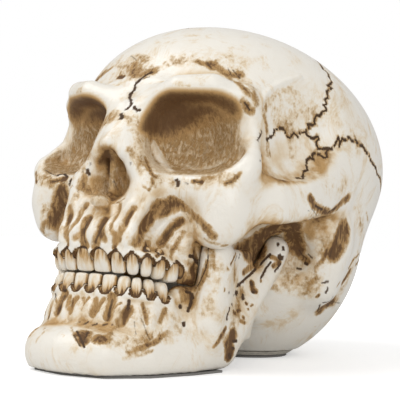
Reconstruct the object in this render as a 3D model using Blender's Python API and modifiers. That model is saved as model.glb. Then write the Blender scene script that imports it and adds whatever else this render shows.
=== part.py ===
"""Life-size skull statue: a hollow cast cranium on its foot plate, a pinned jaw, set teeth and base pads."""

import math

import bmesh
import bpy
import numpy as np
from mathutils import Euler, Matrix, Vector

MM = 0.001

# Overall sizes
SKULL_WIDTH = 148 * MM
SKULL_LENGTH = 206 * MM
SKULL_HEIGHT = 158 * MM

# Shares that the three overall sizes are counted in, from the middle plane, the ear line and the table
WIDTH_SHARES = 148
LENGTH_SHARES = 206
HEIGHT_SHARES = 158

# Casting and base
POUR_HOLE = 30 * MM
PLATE_THICKNESS = 2 * MM
PAD_THICKNESS = 1.0 * MM
PAD_WIDTH = 9 * MM
# The gap round every piece that is set into another
CLEARANCE = 0.35 * MM
# The gap between the two castings where the jaw is bedded against the cranium
JAW_CLEARANCE = 0.5 * MM
# How far every cutter runs past the face that it cuts
OVERRUN = 6 * MM

# Pins that hold the jaw to the cranium
DOWEL_WIDTH = 6 * MM
DOWEL_LENGTH = 15 * MM
DOWEL_EDGE = 0.75 * MM
DOWEL_SHARES = (35.5, -21.5, 31)

# Bite: its gap, its height at the front teeth and fall on the way back, and the heights of crowns and roots
BITE_GAP = 0.5 * MM
BITE_SHARE = 41.5
BITE_FALL_SHARE = 0.2126
CROWN_SHARE = 9.5
ROOT_SHARE = 3.5

# Teeth from the middle to the back: name, form, upper width, lower width and depth
TEETH_SHARES = (
    ("central_incisor", "incisor", 9.4, 7.5, 6.5),
    ("lateral_incisor", "incisor", 7.4, 7.8, 6.5),
    ("canine", "canine", 6.9, 6.8, 7.5),
    ("first_premolar", "premolar", 6.6, 6.4, 8.0),
    ("second_premolar", "premolar", 7.1, 6.2, 8.5),
    ("first_molar", "molar", 7.9, 7.2, 9.5),
)
# How far the lower row stands to the right, and the length of the arch's left half
LOWER_SHIFT_SHARE = 2.8
ARCH_LENGTH_SHARE = 62.254
# Shares of a tooth's height, width and depth, from the root's end to the bite
TOOTH_LEVEL_SHARES = {
    "incisor": ((0, 0.5, 0.6), (0.2, 0.72, 0.85), (0.4, 0.82, 1),
                (0.62, 0.9, 0.9), (0.9, 1, 0.5), (1, 0.93, 0.3)),
    "canine": ((0, 0.5, 0.6), (0.2, 0.72, 0.9), (0.4, 0.82, 1),
               (0.62, 0.9, 0.9), (0.8, 1, 0.7), (1, 0.35, 0.25)),
    "premolar": ((0, 0.55, 0.65), (0.2, 0.75, 0.9), (0.4, 0.82, 1),
                 (0.62, 0.9, 1), (0.8, 1, 0.9), (1, 0.5, 0.5)),
    "molar": ((0, 0.6, 0.7), (0.2, 0.78, 0.9), (0.4, 0.84, 1),
              (0.62, 0.9, 1), (0.8, 1, 0.95), (1, 0.65, 0.65)),
}
TOOTH_SIDES = 8
TOOTH_SQUARE_SHARE = 0.75
# How far up a tooth's height its socket reaches
SOCKET_SHARE = 0.62
# The front of the teeth, from the middle to the back of the left side
ARCH_SHARES = ((0, -83), (9, -83), (16.4, -82), (23, -79.3), (27, -74.3),
               (29.3, -67.8), (30.6, -60), (31.3, -51), (31.6, -42), (31.6, -34))
ARCH_STEPS = 12

# Clay, as fine as it is modelled and as finely as it is faceted at last
FINE_SHARE = 2.0
NUDGE_SHARE = 0.25
FARTHEST_MOVE_SHARE = 4.0
REACH_SHARE = 6.0
LEAST_SLOPE_SHARE = 0.5
SETTLE_ROUNDS = 4
CRANIUM_FACETS = 5000
JAW_FACETS = 2000

# Masses and hollows of the cranium: work, form, place or line, half sizes or radii, turn or stretch, softness
CRANIUM_SHARES = (
    ("lay", "ball", (0, 25.5, 97), (72.5, 80, 55), (-22.7, 0, 0), 0),
    ("lay", "ball", (0, -14, 110), (50, 38, 34), (-8, 0, 0), 14),
    ("lay", "ball", (0, 30, 60), (64, 54, 66), (0, 0, 0), 10),
    ("lay", "slab", (29, -12, 34), (6, 14, 14), (0, 0, 0), 6),
    ("lay", "ball", (0, -28, 88), (46, 24, 34), (0, 0, 0), 10),
    ("lay", "ball", (43, -32, 97), (10, 12, 24), (0, 0, 0), 8),
    ("lay", "ball", (0, -50, 66), (32, 26, 24), (0, 0, 0), 8),
    ("lay", "ball", (27, -54, 77), (20, 9, 9), (0, 0, 8), 8),
    ("lay", "line", ((0, -77.5, 55), (9, -77.5, 55), (15, -76, 55), (20, -73, 54.8), (23.5, -67, 54.5),
                     (25.5, -58, 53), (26.5, -46, 50.7), (27, -36, 48.6)),
     (6, 6, 6, 6, 6.5, 7, 7, 7), (1, 1, 1.3), 8),
    ("lay", "line", ((26.6, -43.7, 43), (26.8, -35, 42)), (6, 6), (1, 1, 1.4), 5),
    ("lay", "ball", (0, -49, 118), (14, 9, 8), (0, 0, 0), 8),
    ("lay", "line", ((9, -56, 114), (24, -57, 119), (36, -50, 120), (44, -42, 116)),
     (5.5, 6, 6, 5), (1, 1, 1), 7),
    ("lay", "line", ((45, -41, 116), (50.5, -39, 107), (53.2, -43, 97), (55, -50, 88)),
     (4.2, 3.8, 3.8, 4.2), (1, 1, 1), 6),
    ("lay", "line", ((7, -58, 108), (11, -63, 95), (17, -67, 80), (17, -71, 66)), (5, 5, 6, 6), (1, 1, 1), 6),
    ("lay", "line", ((0, -59, 110), (0, -67, 101), (0, -73, 95)), (4.5, 4.2, 3.8), (1, 1, 1), 4),
    ("lay", "line", ((3.5, -59, 109), (4.5, -66, 100), (6, -70, 92)), (5, 5, 4.5), (1, 1, 1), 4),
    ("lay", "line", ((7, -58, 104), (9, -62, 96), (11, -66, 86)), (5, 5, 5), (1, 1, 1), 5),
    ("lay", "line", ((15, -61, 84), (30, -56, 80), (45, -54, 80.3), (55, -52, 84)),
     (4.5, 5, 5, 4.5), (1, 1, 1), 6),
    ("lay", "ball", (43, -51, 71), (15, 12, 17), (0, 0, -30), 7),
    ("lay", "ball", (43, -55, 60), (8, 7, 7), (0, 0, 0), 6),
    ("lay", "line", ((52, -46, 73), (60, -34, 73), (64, -18, 75), (65, 0, 78), (63, 16, 82)),
     (4.5, 4.5, 4.5, 4.5, 5), (1, 1, 2.2), 7),
    ("lay", "line", ((56, 18, 56), (54, 16, 36)), (12, 8), (1, 1, 1), 8),
    ("lay", "ball", (45, -16, 82), (15, 28, 17), (0, 0, -8), 8),
    ("lay", "ball", (8, -50, 94), (9, 9, 12), (0, 0, 0), 5),
    ("lay", "ball", (25, -22, 54), (9, 13, 12), (0, 0, 0), 6),
    ("press", "slab", (33.2, -66, 99.6), (19, 19, 15.2), (0, 0, 12), 5),
    ("press", "ball", (31.5, -60, 99.5), (16, 20, 13.5), (0, 0, 10), 4),
    ("press", "ball", (66, -20, 108), (11, 21, 19), (0, 0, -14), 8),
    ("press", "ball", (62, -26, 94), (6, 15, 10), (0, 0, -14), 6),
    ("press", "ball", (0, -78, 78), (10.8, 14, 8.2), (0, 0, 0), 3),
    ("press", "ball", (0, -76, 84), (5.5, 12, 8.5), (0, 0, 0), 3),
    ("press", "ball", (31, -72, 62), (11, 9, 13), (0, 0, 0), 6),
    ("press", "ball", (50, -16, 50), (12, 24, 14), (0, 0, 0), 6),
    ("lay", "slab", (0, -63, 82), (1.4, 9, 9), (0, 0, 0), 2),
    ("lay", "ball", (0, -77, 73), (3.5, 5, 3.5), (0, 0, 0), 3),
)
# The hollow of the casting: place, half sizes, turn
HOLLOW_SHARES = (
    ((0, 33, 98), (61, 66, 45), (-22.7, 0, 0)),
    ((0, 34, 54), (45, 36, 36), (0, 0, 0)),
)
# Masses and hollows of the jaw
JAW_SHARES = (
    ("lay", "line", ((0, -93, 8), (16, -90, 8), (26, -77, 8), (33, -58, 8), (36, -38, 9)),
     (8.5, 8.5, 7.5, 7, 6.5), (1, 1, 1.2), 6),
    ("lay", "line", ((0, -81, 18), (13, -79.5, 18), (22, -71, 17.5), (28, -57, 16), (33, -42, 16)),
     (6.3, 6.3, 6.3, 6.5, 7), (1, 1, 1.5), 8),
    ("lay", "line", ((0, -78, 24.5), (9, -78, 24.5), (15, -77, 24.3), (20, -74, 23.8), (23.5, -68, 22.8),
                     (25.5, -58, 20.9), (28, -46, 19.4)),
     (6.5, 6.5, 6.5, 6.5, 6.5, 6.5, 7), (1, 1, 1.25), 7),
    ("lay", "ball", (0, -94, 8), (16, 7, 7), (0, 0, 0), 8),
    ("lay", "line", ((36, -37, 12), (39, -23, 28), (41, -9, 43), (42, -3, 52)), (6, 6, 6, 6), (1, 1, 1), 6),
    ("lay", "line", ((37.5, -47, 28), (38.5, -47, 42), (39, -47, 54)), (5.5, 5.5, 5), (1, 1, 1), 5),
    ("lay", "line", ((36.3, -53, 22), (36.4, -51, 31), (37, -46.5, 40), (38, -44, 50)),
     (4.4, 4.2, 4.2, 4), (1, 1, 1), 6),
    ("lay", "line", ((28, -43.5, 24.8), (28.5, -36, 24.5)), (5.8, 5.8), (1, 1, 1.25), 5),
    ("lay", "slab", (38.5, -36, 32), (3.7, 17, 20), (0, 0, 4), 6),
)
# The middle line of the pad under the jaw, and the foot's middle and its plate's half sizes below and above
JAW_PAD_SHARES = ((0, -93.5), (16, -90), (26.5, -77), (33, -58), (36, -41))
FOOT_SHARES = (0, 30)
PLATE_LOW_SHARES = (29, 24.5)
PLATE_HIGH_SHARES = (32, 27)
FOOT_PAD_SHARES = (28, 23.5)

# Fineness of round forms
BALL_STEPS = 3
BEAD_STEPS = 2
HOLLOW_STEPS = 3
OVAL_SIDES = 40
HOLE_SIDES = 32
DOWEL_SIDES = 20
SLAB_ROUND_SHARE = 0.75
SLAB_INSET_SHARE = 0.25

# Finish of the pieces whose names start so: colour, roughness, metallic
FINISHES = {
    "cranium": ((0.79, 0.75, 0.67), 0.32, 0.0),
    "mandible": ((0.76, 0.71, 0.62), 0.35, 0.0),
    "upper": ((0.74, 0.67, 0.54), 0.28, 0.0),
    "lower": ((0.70, 0.62, 0.48), 0.28, 0.0),
    "jaw_dowel": ((0.62, 0.62, 0.64), 0.30, 1.0),
    "foot_plate": ((0.74, 0.70, 0.62), 0.50, 0.0),
    "base_pad": ((0.10, 0.10, 0.11), 0.85, 0.0),
}


def spot(shares):
    """The place that three shares of the width, the length and the height name."""
    across, along, up = shares
    return np.array((across * SKULL_WIDTH / WIDTH_SHARES,
                     along * SKULL_LENGTH / LENGTH_SHARES,
                     up * SKULL_HEIGHT / HEIGHT_SHARES))


def stretched():
    """What turns a form counted in shares into its real size."""
    return Matrix.Diagonal((*spot((1, 1, 1)), 1))


def turning(degrees):
    return np.array(Euler([math.radians(angle) for angle in degrees]).to_matrix())


class Ball:
    """An ellipsoid, counted in shares as all clay is."""

    def __init__(self, place, half, turn):
        self.middle, self.half, self.turn = np.array(place, float), np.array(half, float), turning(turn)
        self.span = self.half.max()

    def height(self, points):
        local = (points - self.middle) @ self.turn
        ring = np.linalg.norm(local / self.half, axis=1)
        slope = np.linalg.norm(local / self.half ** 2, axis=1)
        return ring * (ring - 1) / np.maximum(slope, 1 / LENGTH_SHARES)

    def block(self, mesh, steps=BALL_STEPS):
        pose = Matrix.Translation(self.middle) @ Matrix(self.turn).to_4x4()
        size = Matrix.Diagonal((*self.half, 1))
        bmesh.ops.create_icosphere(mesh, subdivisions=steps, radius=1, matrix=pose @ size)


class Slab(Ball):
    """A box with its edges rounded by a share of its least half size."""

    def __init__(self, place, half, turn):
        super().__init__(place, half, turn)
        self.round = self.half.min() * SLAB_ROUND_SHARE
        self.span = np.linalg.norm(self.half)

    def height(self, points):
        past = np.abs((points - self.middle) @ self.turn) - self.half + self.round
        out = np.linalg.norm(np.maximum(past, 0), axis=1)
        return out + np.minimum(past.max(axis=1), 0) - self.round

    def block(self, mesh):
        pose = Matrix.Translation(self.middle) @ Matrix(self.turn).to_4x4()
        size = Matrix.Diagonal((*(self.half - self.round * SLAB_INSET_SHARE), 1))
        bmesh.ops.create_cube(mesh, size=2, matrix=pose @ size)


class Line:
    """A rounded line through several places, each with its own radius, stretched along the axes."""

    def __init__(self, places, radii, stretch):
        self.stretch = np.array(stretch, float)
        self.places = [np.array(place, float) for place in places]
        self.radii = radii
        self.middle = np.mean(self.places, axis=0)
        reach = max(np.linalg.norm(place - self.middle) for place in self.places)
        self.span = reach + max(self.radii) * self.stretch.max()

    def height(self, points):
        nearest = np.full(len(points), np.inf)
        for start, end, first, last in zip(self.places, self.places[1:], self.radii, self.radii[1:]):
            way = (end - start) / self.stretch
            local = (points - start) / self.stretch
            share = np.clip(local @ way / (way @ way), 0, 1)
            away = np.linalg.norm(local - share[:, None] * way, axis=1)
            nearest = np.minimum(nearest, away - first - share * (last - first))
        return nearest * self.stretch.min()

    def block(self, mesh):
        for start, end, first, last in zip(self.places, self.places[1:], self.radii, self.radii[1:]):
            stick = bmesh.new()
            for place, radius in ((start, first), (end, last)):
                size = Matrix.Diagonal((*(self.stretch * radius), 1))
                bmesh.ops.create_icosphere(
                    stick, subdivisions=BEAD_STEPS, radius=1, matrix=Matrix.Translation(place) @ size)
            bmesh.ops.delete(stick, geom=stick.edges[:] + stick.faces[:], context="EDGES_FACES")
            hull = bmesh.ops.convex_hull(stick, input=stick.verts[:])
            inner = [item for item in hull["geom_interior"] if isinstance(item, bmesh.types.BMVert)]
            bmesh.ops.delete(stick, geom=inner, context="VERTS")
            bmesh.ops.recalc_face_normals(stick, faces=stick.faces[:])
            shared = mesh_from("stick", stick)
            mesh.from_mesh(shared)
            bpy.data.meshes.remove(shared)


FORMS = {"ball": Ball, "slab": Slab, "line": Line}


def blend(low, other, soft):
    """The lower of two heights, rounded where they meet."""
    if not soft:
        return np.minimum(low, other)
    near = np.clip(1 - np.abs(low - other) / soft, 0, 1)
    return np.minimum(low, other) - near * near * soft / 4


class Clay:
    """A form of masses laid on and hollows pressed in, in order, alike on both sides of the middle plane."""

    def __init__(self, table):
        self.steps = [(work, FORMS[form](place, size, more), soft)
                      for work, form, place, size, more, soft in table]

    def height(self, points):
        """How far each point stands off the surface, negative inside."""
        points = np.column_stack((np.abs(points[:, 0]), points[:, 1:]))
        height = np.full(len(points), float(LENGTH_SHARES))
        for work, form, soft in self.steps:
            near = np.linalg.norm(points - form.middle, axis=1) < form.span + soft + REACH_SHARE
            mine = form.height(points[near])
            if work == "lay":
                height[near] = blend(height[near], mine, soft)
            else:
                height[near] = -blend(-height[near], mine, soft)
        return height

    def settle(self, mesh):
        """Moves a mesh's points onto the surface, straight up or down its slope."""
        points = np.empty(len(mesh.vertices) * 3, dtype=np.float32)
        mesh.vertices.foreach_get("co", points)
        points = points.reshape(-1, 3).astype(float)
        for _ in range(SETTLE_ROUNDS):
            slope = np.empty_like(points)
            for axis in range(3):
                step = np.zeros(3)
                step[axis] = NUDGE_SHARE
                rise = self.height(points + step) - self.height(points - step)
                slope[:, axis] = rise / (NUDGE_SHARE + NUDGE_SHARE)
            steep = np.maximum((slope * slope).sum(axis=1), LEAST_SLOPE_SHARE ** 2)
            move = np.clip(self.height(points) / steep, -FARTHEST_MOVE_SHARE, FARTHEST_MOVE_SHARE)
            points -= slope * move[:, None]
        mesh.vertices.foreach_set("co", points.astype(np.float32).ravel())
        mesh.update()


def collection(name):
    made = bpy.data.collections.new(name)
    bpy.context.scene.collection.children.link(made)
    return made


def add_object(name, mesh, home):
    item = bpy.data.objects.new(name, mesh)
    home.objects.link(item)
    return item


def mesh_from(name, shape):
    mesh = bpy.data.meshes.new(name)
    shape.to_mesh(mesh)
    shape.free()
    return mesh


def remesh(item, size):
    modifier = item.modifiers.new("remesh", "REMESH")
    modifier.mode = "VOXEL"
    modifier.voxel_size = size
    return modifier


def carve(item, cutter, operation="DIFFERENCE"):
    modifier = item.modifiers.new(operation.lower(), "BOOLEAN")
    modifier.operation = operation
    modifier.object = cutter
    return modifier


def bake(item):
    """Replaces an object's mesh by what its modifiers make of it."""
    graph = bpy.context.evaluated_depsgraph_get()
    mesh = bpy.data.meshes.new_from_object(item.evaluated_get(graph), depsgraph=graph)
    item.modifiers.clear()
    item.data = mesh
    return item


def blocks(name, forms, home):
    """One object of the plain blocks of some masses, with their mirror images."""
    shape = bmesh.new()
    for form in forms:
        form.block(shape)
    other = bmesh.ops.duplicate(shape, geom=shape.verts[:] + shape.edges[:] + shape.faces[:])["geom"]
    points = [item for item in other if isinstance(item, bmesh.types.BMVert)]
    bmesh.ops.scale(shape, vec=(-1, 1, 1), verts=points)
    bmesh.ops.reverse_faces(shape, faces=[item for item in other if isinstance(item, bmesh.types.BMFace)])
    return add_object(name, mesh_from(name, shape), home)


def sculpt(name, table, facets, home, tools):
    """A closed body of clay: blocked out, cut, drawn onto its true surface, thinned and stretched."""
    clay = Clay(table)
    body = None
    work_of_run = None
    runs = []
    for work, form, _ in clay.steps:
        if work != work_of_run:
            runs.append((work, []))
            work_of_run = work
        runs[-1][1].append(form)
    for number, (work, forms) in enumerate(runs):
        stage = blocks(f"{name}_{work}_{number}", forms, tools)
        remesh(stage, FINE_SHARE)
        bake(stage)
        if body is None:
            body = stage
            continue
        carve(body, stage, "UNION" if work == "lay" else "DIFFERENCE")
        bake(body)
    remesh(body, FINE_SHARE)
    bake(body)
    clay.settle(body.data)
    remesh(body, FINE_SHARE)
    bake(body)
    clay.settle(body.data)
    body.data.calc_loop_triangles()
    thin = body.modifiers.new("thin", "DECIMATE")
    thin.ratio = facets / len(body.data.loop_triangles)
    bake(body)
    body.data.transform(stretched())
    body.name = name
    tools.objects.unlink(body)
    home.objects.link(body)
    return body


def solid(name, shape, home):
    """An object of one closed mesh of flat triangles, with its faces pointing out."""
    bmesh.ops.recalc_face_normals(shape, faces=shape.faces[:])
    bmesh.ops.triangulate(shape, faces=shape.faces[:])
    return add_object(name, mesh_from(name, shape), home)


def arch():
    """The front of the tooth rows as a fine line, right to left, with the way walked and the way in."""
    left = [spot((*share, 0))[:2] for share in ARCH_SHARES]
    ends = [place * (-1, 1) for place in left[:0:-1]] + left
    fine = []
    for before, start, end, after in zip(ends, ends[1:], ends[2:], ends[3:]):
        for step in range(ARCH_STEPS):
            share = step / ARCH_STEPS
            fine.append(0.5 * ((2 * start) + (end - before) * share
                               + (2 * before - 5 * start + 4 * end - after) * share ** 2
                               + (3 * start - before - 3 * end + after) * share ** 3))
    fine = np.array(fine)
    walked = np.concatenate(((0,), np.cumsum(np.linalg.norm(np.diff(fine, axis=0), axis=1))))
    walked -= walked[np.argmin(np.abs(fine[:, 0]))]
    slope = np.gradient(fine, axis=0)
    inward = np.column_stack((-slope[:, 1], slope[:, 0]))
    return fine, walked * ARCH_LENGTH_SHARE / walked[-1], inward


def bite(along):
    """The height of the bite at a place along the skull."""
    walked = along * LENGTH_SHARES / SKULL_LENGTH - ARCH_SHARES[0][1]
    return spot((0, 0, BITE_SHARE - walked * BITE_FALL_SHARE))[2]


def even_angles(count):
    return [math.tau * number / count for number in range(count)]


class Berth:
    """The place of one tooth in a row, between two shares of the way along the arch."""

    def __init__(self, upper, near, far, depth):
        line, walked, inward = arch()
        first, last = (self.at(where, walked, line) for where in (near, far))
        way = last - first
        heading = math.atan2(way[1], way[0])
        along = way / np.linalg.norm(way)
        back = np.array((-along[1], along[0]))
        normals = [self.at(where, walked, inward) for where in (near, far)]
        self.leans = [normal @ along / (normal @ back) for normal in normals]
        if upper:
            self.leans = [-lean for lean in reversed(self.leans)]
        self.width = np.linalg.norm(way) - CLEARANCE
        self.depth = depth * np.linalg.norm(spot((*back, 0)))
        self.height = spot((0, 0, CROWN_SHARE + ROOT_SHARE))[2]
        centre = (first + last + back * self.depth) / 2
        level = bite(centre[1]) + (BITE_GAP / 2 if upper else -BITE_GAP / 2)
        self.location = (*centre, level + (self.height if upper else -self.height))
        self.rotation = (0, math.pi if upper else 0, heading)

    @staticmethod
    def at(where, walked, values):
        return np.array([np.interp(where, walked, values[:, axis]) for axis in range(2)])

    def fill(self, name, form, home, grow=0.0, top_share=1):
        """A tooth standing here on its root's end, its sides kept between its neighbours, grown by a gap."""
        shape = bmesh.new()
        bmesh.ops.create_circle(shape, cap_ends=True, segments=TOOTH_SIDES, radius=1)
        cap = shape.faces[:]
        for number, (up, across, along) in enumerate(TOOTH_LEVEL_SHARES[form]):
            if up > top_share:
                break
            if number:
                made = bmesh.ops.extrude_face_region(shape, geom=cap)["geom"]
                if number > 1:
                    bmesh.ops.delete(shape, geom=cap, context="FACES_ONLY")
                cap = [item for item in made if isinstance(item, bmesh.types.BMFace)]
            for corner, angle in zip(cap[0].verts, even_angles(TOOTH_SIDES)):
                side = math.copysign(abs(math.cos(angle)) ** TOOTH_SQUARE_SHARE, math.cos(angle))
                back = math.copysign(abs(math.sin(angle)) ** TOOTH_SQUARE_SHARE, math.sin(angle))
                back *= along * self.depth / 2 + grow
                inner = back + self.depth / 2
                low = self.leans[0] * inner - self.width / 2
                high = self.leans[1] * inner + self.width / 2
                wide = across * (high - low) / 2 + grow
                corner.co = ((low + high) / 2 + side * wide, back, up * self.height if number else -grow)
        item = solid(name, shape, home)
        item.location = self.location
        item.rotation_euler = self.rotation
        return item


def teeth(home, tools):
    """Both rows of teeth, and for each row the cutters of its sockets."""
    rows = {}
    for row, upper in (("upper", True), ("lower", False)):
        rows[row] = []
        middle = 0 if upper else -LOWER_SHIFT_SHARE
        for side, way in (("left", 1), ("right", -1)):
            walked = middle
            for name, form, upper_width, lower_width, depth in TEETH_SHARES:
                width = upper_width if upper else lower_width
                berth = Berth(upper, *sorted((walked, walked + way * width)), depth)
                walked += way * width
                label = f"{row}_{name}_{side}"
                berth.fill(label, form, home)
                rows[row].append(berth.fill(f"{label}_socket", form, tools, CLEARANCE, SOCKET_SHARE))
    return rows


def cylinder(name, radius, height, sides, home, edge=0.0):
    """A round bar standing on its foot, with its rims bevelled."""
    shape = bmesh.new()
    bmesh.ops.create_cone(shape, cap_ends=True, segments=sides, radius1=radius, radius2=radius, depth=height,
                          matrix=Matrix.Translation((0, 0, height / 2)))
    if edge:
        rims = [line for line in shape.edges if abs(line.verts[0].co.z - line.verts[1].co.z) < edge]
        bmesh.ops.bevel(shape, geom=rims, offset=edge, affect="EDGES", segments=1, profile=0.5, material=-1)
    return solid(name, shape, home)


def casting_floor():
    """The height of the jaw's flat underside, on its pad."""
    return PAD_THICKNESS + CLEARANCE


def foot_floor():
    """The height of the cranium's flat underside, on the foot plate."""
    return casting_floor() + PLATE_THICKNESS + CLEARANCE


def flatten(item, level, tools):
    """Cuts a casting off flat at a level."""
    shape = bmesh.new()
    size = SKULL_LENGTH + SKULL_LENGTH
    bmesh.ops.create_cube(shape, size=size)
    floor = solid(f"{item.name}_floor", shape, tools)
    floor.location.z = level - size / 2
    carve(item, floor)


def hollow_out(cranium, tools):
    """Cuts the casting's hollow and its pour hole."""
    for number, (place, half, turn) in enumerate(HOLLOW_SHARES):
        chamber = bmesh.new()
        Ball(place, half, turn).block(chamber, steps=HOLLOW_STEPS)
        bmesh.ops.transform(chamber, matrix=stretched(), verts=chamber.verts[:])
        carve(cranium, solid(f"hollow_{number}", chamber, tools))
    low = foot_floor() - OVERRUN
    top = spot(HOLLOW_SHARES[1][0])[2]
    hole = cylinder("pour_hole", POUR_HOLE / 2, top - low, HOLE_SIDES, tools)
    hole.location = (0, spot((*FOOT_SHARES, 0))[1], low)
    carve(cranium, hole)


def dowels(home, tools):
    """The two pins across each joint of the jaw, lying from side to side, and the holes for them."""
    holes = []
    for side, way in (("left", 1), ("right", -1)):
        pin = cylinder(f"jaw_dowel_{side}", DOWEL_WIDTH / 2, DOWEL_LENGTH, DOWEL_SIDES, home, edge=DOWEL_EDGE)
        hole = cylinder(f"jaw_dowel_{side}_hole", DOWEL_WIDTH / 2 + CLEARANCE,
                        DOWEL_LENGTH + CLEARANCE + CLEARANCE, DOWEL_SIDES, tools)
        across, along, up = spot(DOWEL_SHARES)
        foot = across * way - DOWEL_LENGTH / 2
        pin.location = (foot, along, up)
        hole.location = (foot - CLEARANCE, along, up)
        for item in (pin, hole):
            item.rotation_euler = (0, math.pi / 2, 0)
        holes.append(hole)
    return holes


def sheet(name, outlines, heights, home):
    """A flat piece between an outline at one height and another, of as many points, above it."""
    shape = bmesh.new()
    rings = [[shape.verts.new((place[0], place[1], height)) for place in outline]
             for outline, height in zip(outlines, heights)]
    for ring in rings:
        shape.faces.new(ring)
    for number, corner in enumerate(rings[0]):
        shape.faces.new((rings[0][number - 1], corner, rings[1][number], rings[1][number - 1]))
    return solid(name, shape, home)


def oval(half_shares):
    """An oval round the middle of the foot."""
    foot, half = spot((*FOOT_SHARES, 0)), spot((*half_shares, 0))
    return [foot + half * (math.cos(angle), math.sin(angle), 0) for angle in even_angles(OVAL_SIDES)]


def base(home):
    """A strip of rubber along the jaw's base, the plate that closes the foot, and the pad under it."""
    left = [spot((*share, 0)) for share in JAW_PAD_SHARES]
    middle = [place * (-1, 1, 1) for place in left[:0:-1]] + left
    sides = ([], [])
    for number, place in enumerate(middle):
        way = middle[min(number + 1, len(middle) - 1)] - middle[max(number - 1, 0)]
        across = np.array((-way[1], way[0], 0)) / np.linalg.norm(way) * PAD_WIDTH / 2
        sides[0].append(place + across)
        sides[1].append(place - across)
    strip = sides[0] + sides[1][::-1]
    sheet("base_pad_front", (strip, strip), (0, PAD_THICKNESS), home)
    pad = oval(FOOT_PAD_SHARES)
    sheet("base_pad_rear", (pad, pad), (0, PAD_THICKNESS), home)
    low = casting_floor()
    sheet("foot_plate", (oval(PLATE_LOW_SHARES), oval(PLATE_HIGH_SHARES)), (low, low + PLATE_THICKNESS), home)


def fattened(item, tools):
    """A copy of a casting, grown by its gap, to cut its neighbour with."""
    copy = add_object(f"{item.name}_seat", item.data.copy(), tools)
    grow = copy.modifiers.new("grow", "DISPLACE")
    grow.strength = JAW_CLEARANCE
    grow.mid_level = 0
    return copy


def paint(item):
    """Gives a piece a material of its own, with the finish that its name starts with."""
    colour, roughness, metallic = next(
        finish for start, finish in FINISHES.items() if item.name.startswith(start))
    material = bpy.data.materials.new(item.name)
    material.use_nodes = True
    shader = material.node_tree.nodes["Principled BSDF"]
    shader.inputs["Base Color"].default_value = (*colour, 1)
    shader.inputs["Roughness"].default_value = roughness
    shader.inputs["Metallic"].default_value = metallic
    item.data.materials.append(material)


def stand(pieces, cutters):
    """Hangs everything on an empty that puts the middle of the pieces' footprint over the origin."""
    bpy.context.view_layer.update()
    graph = bpy.context.evaluated_depsgraph_get()
    corners = []
    for piece in pieces:
        shown = piece.evaluated_get(graph)
        corners += [shown.matrix_world @ Vector(corner) for corner in shown.bound_box]
    low, high = np.min(corners, axis=0), np.max(corners, axis=0)
    base = bpy.data.objects.new("middle_of_base", None)
    bpy.context.scene.collection.objects.link(base)
    base.location = (-(low[0] + high[0]) / 2, -(low[1] + high[1]) / 2, -low[2])
    for item in (*pieces, *cutters):
        item.parent = base


def main():
    for item in list(bpy.data.objects):
        bpy.data.objects.remove(item)
    statue = collection("skull_statue")
    tools = collection("cutters")
    cranium = sculpt("cranium", CRANIUM_SHARES, CRANIUM_FACETS, statue, tools)
    jaw = sculpt("mandible", JAW_SHARES, JAW_FACETS, statue, tools)
    sockets = teeth(statue, tools)
    holes = dowels(statue, tools)
    carve(cranium, fattened(jaw, tools))
    for casting, row, level in ((cranium, "upper", foot_floor()), (jaw, "lower", casting_floor())):
        for cutter in (*sockets[row], *holes):
            carve(casting, cutter)
        flatten(casting, level, tools)
    hollow_out(cranium, tools)
    base(statue)
    for piece in statue.objects:
        paint(piece)
    for cutter in tools.objects:
        cutter.hide_render = True
        cutter.display_type = "WIRE"
    stand(statue.objects, tools.objects)


main()
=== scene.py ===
"""Looks of the life-size skull statue: modelled bone, teeth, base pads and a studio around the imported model."""

import math

import bmesh
import bpy
import numpy as np
from mathutils import Euler, Matrix, Vector


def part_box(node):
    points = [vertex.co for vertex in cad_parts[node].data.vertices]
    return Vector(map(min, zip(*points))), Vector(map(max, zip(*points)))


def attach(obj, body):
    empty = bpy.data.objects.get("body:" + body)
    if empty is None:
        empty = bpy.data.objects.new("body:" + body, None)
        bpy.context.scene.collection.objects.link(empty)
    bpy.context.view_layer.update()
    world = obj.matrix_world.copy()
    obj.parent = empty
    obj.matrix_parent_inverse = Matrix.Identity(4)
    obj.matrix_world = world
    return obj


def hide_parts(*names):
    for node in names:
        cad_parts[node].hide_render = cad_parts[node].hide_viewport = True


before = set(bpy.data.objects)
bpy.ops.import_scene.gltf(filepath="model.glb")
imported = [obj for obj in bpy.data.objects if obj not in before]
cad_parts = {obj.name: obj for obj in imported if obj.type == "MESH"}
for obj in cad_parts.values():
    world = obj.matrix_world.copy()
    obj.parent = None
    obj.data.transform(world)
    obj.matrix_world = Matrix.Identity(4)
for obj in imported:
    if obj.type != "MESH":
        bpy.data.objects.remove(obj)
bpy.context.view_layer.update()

# Units, and the place of the ear line from which every place is measured
MM = 0.001
FOOT_ALONG = 30 * MM
foot_low, foot_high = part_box("foot_plate")
EAR_LINE = (foot_low.y + foot_high.y) / 2 - FOOT_ALONG
FLOORS = {node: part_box(node)[0].z for node in ("cranium", "mandible")}

# Fineness of the modelling
COARSE = 2.0 * MM
FINE = 1.45 * MM
CRISP = 0.42 * MM
CLEAR = 0.66 * MM
REFINE_ROUNDS = 2
LONG_EDGE_SHARE = 1.4
NUDGE = 0.2 * MM
FARTHEST_MOVE = 4.0 * MM
LEAST_SLOPE_SHARE = 0.5
FIRST_SEATING, NEXT_SEATING = 3, 2
BALL_STEPS = 3
BEAD_STEPS = 2
SLAB_ROUND_SHARE = 0.75
SLAB_INSET_SHARE = 0.25
REACH = 6.0 * MM
FAR = 300 * MM

# Camera, fitted to the photograph
CAMERA_SHARES = (286.6, -427.5, 59.8)
AIM_SHARES = (0, -3.3, 74.1)
CAMERA_ROLL = math.radians(1.96)
CAMERA_LENS = 97.07
FILM_WIDTH = 36.0
PHOTO_SIDE = 400
LOOK_FROM, LOOK_STEP, LOOK_ROUNDS = 380 * MM, 4.0 * MM, 110

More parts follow.
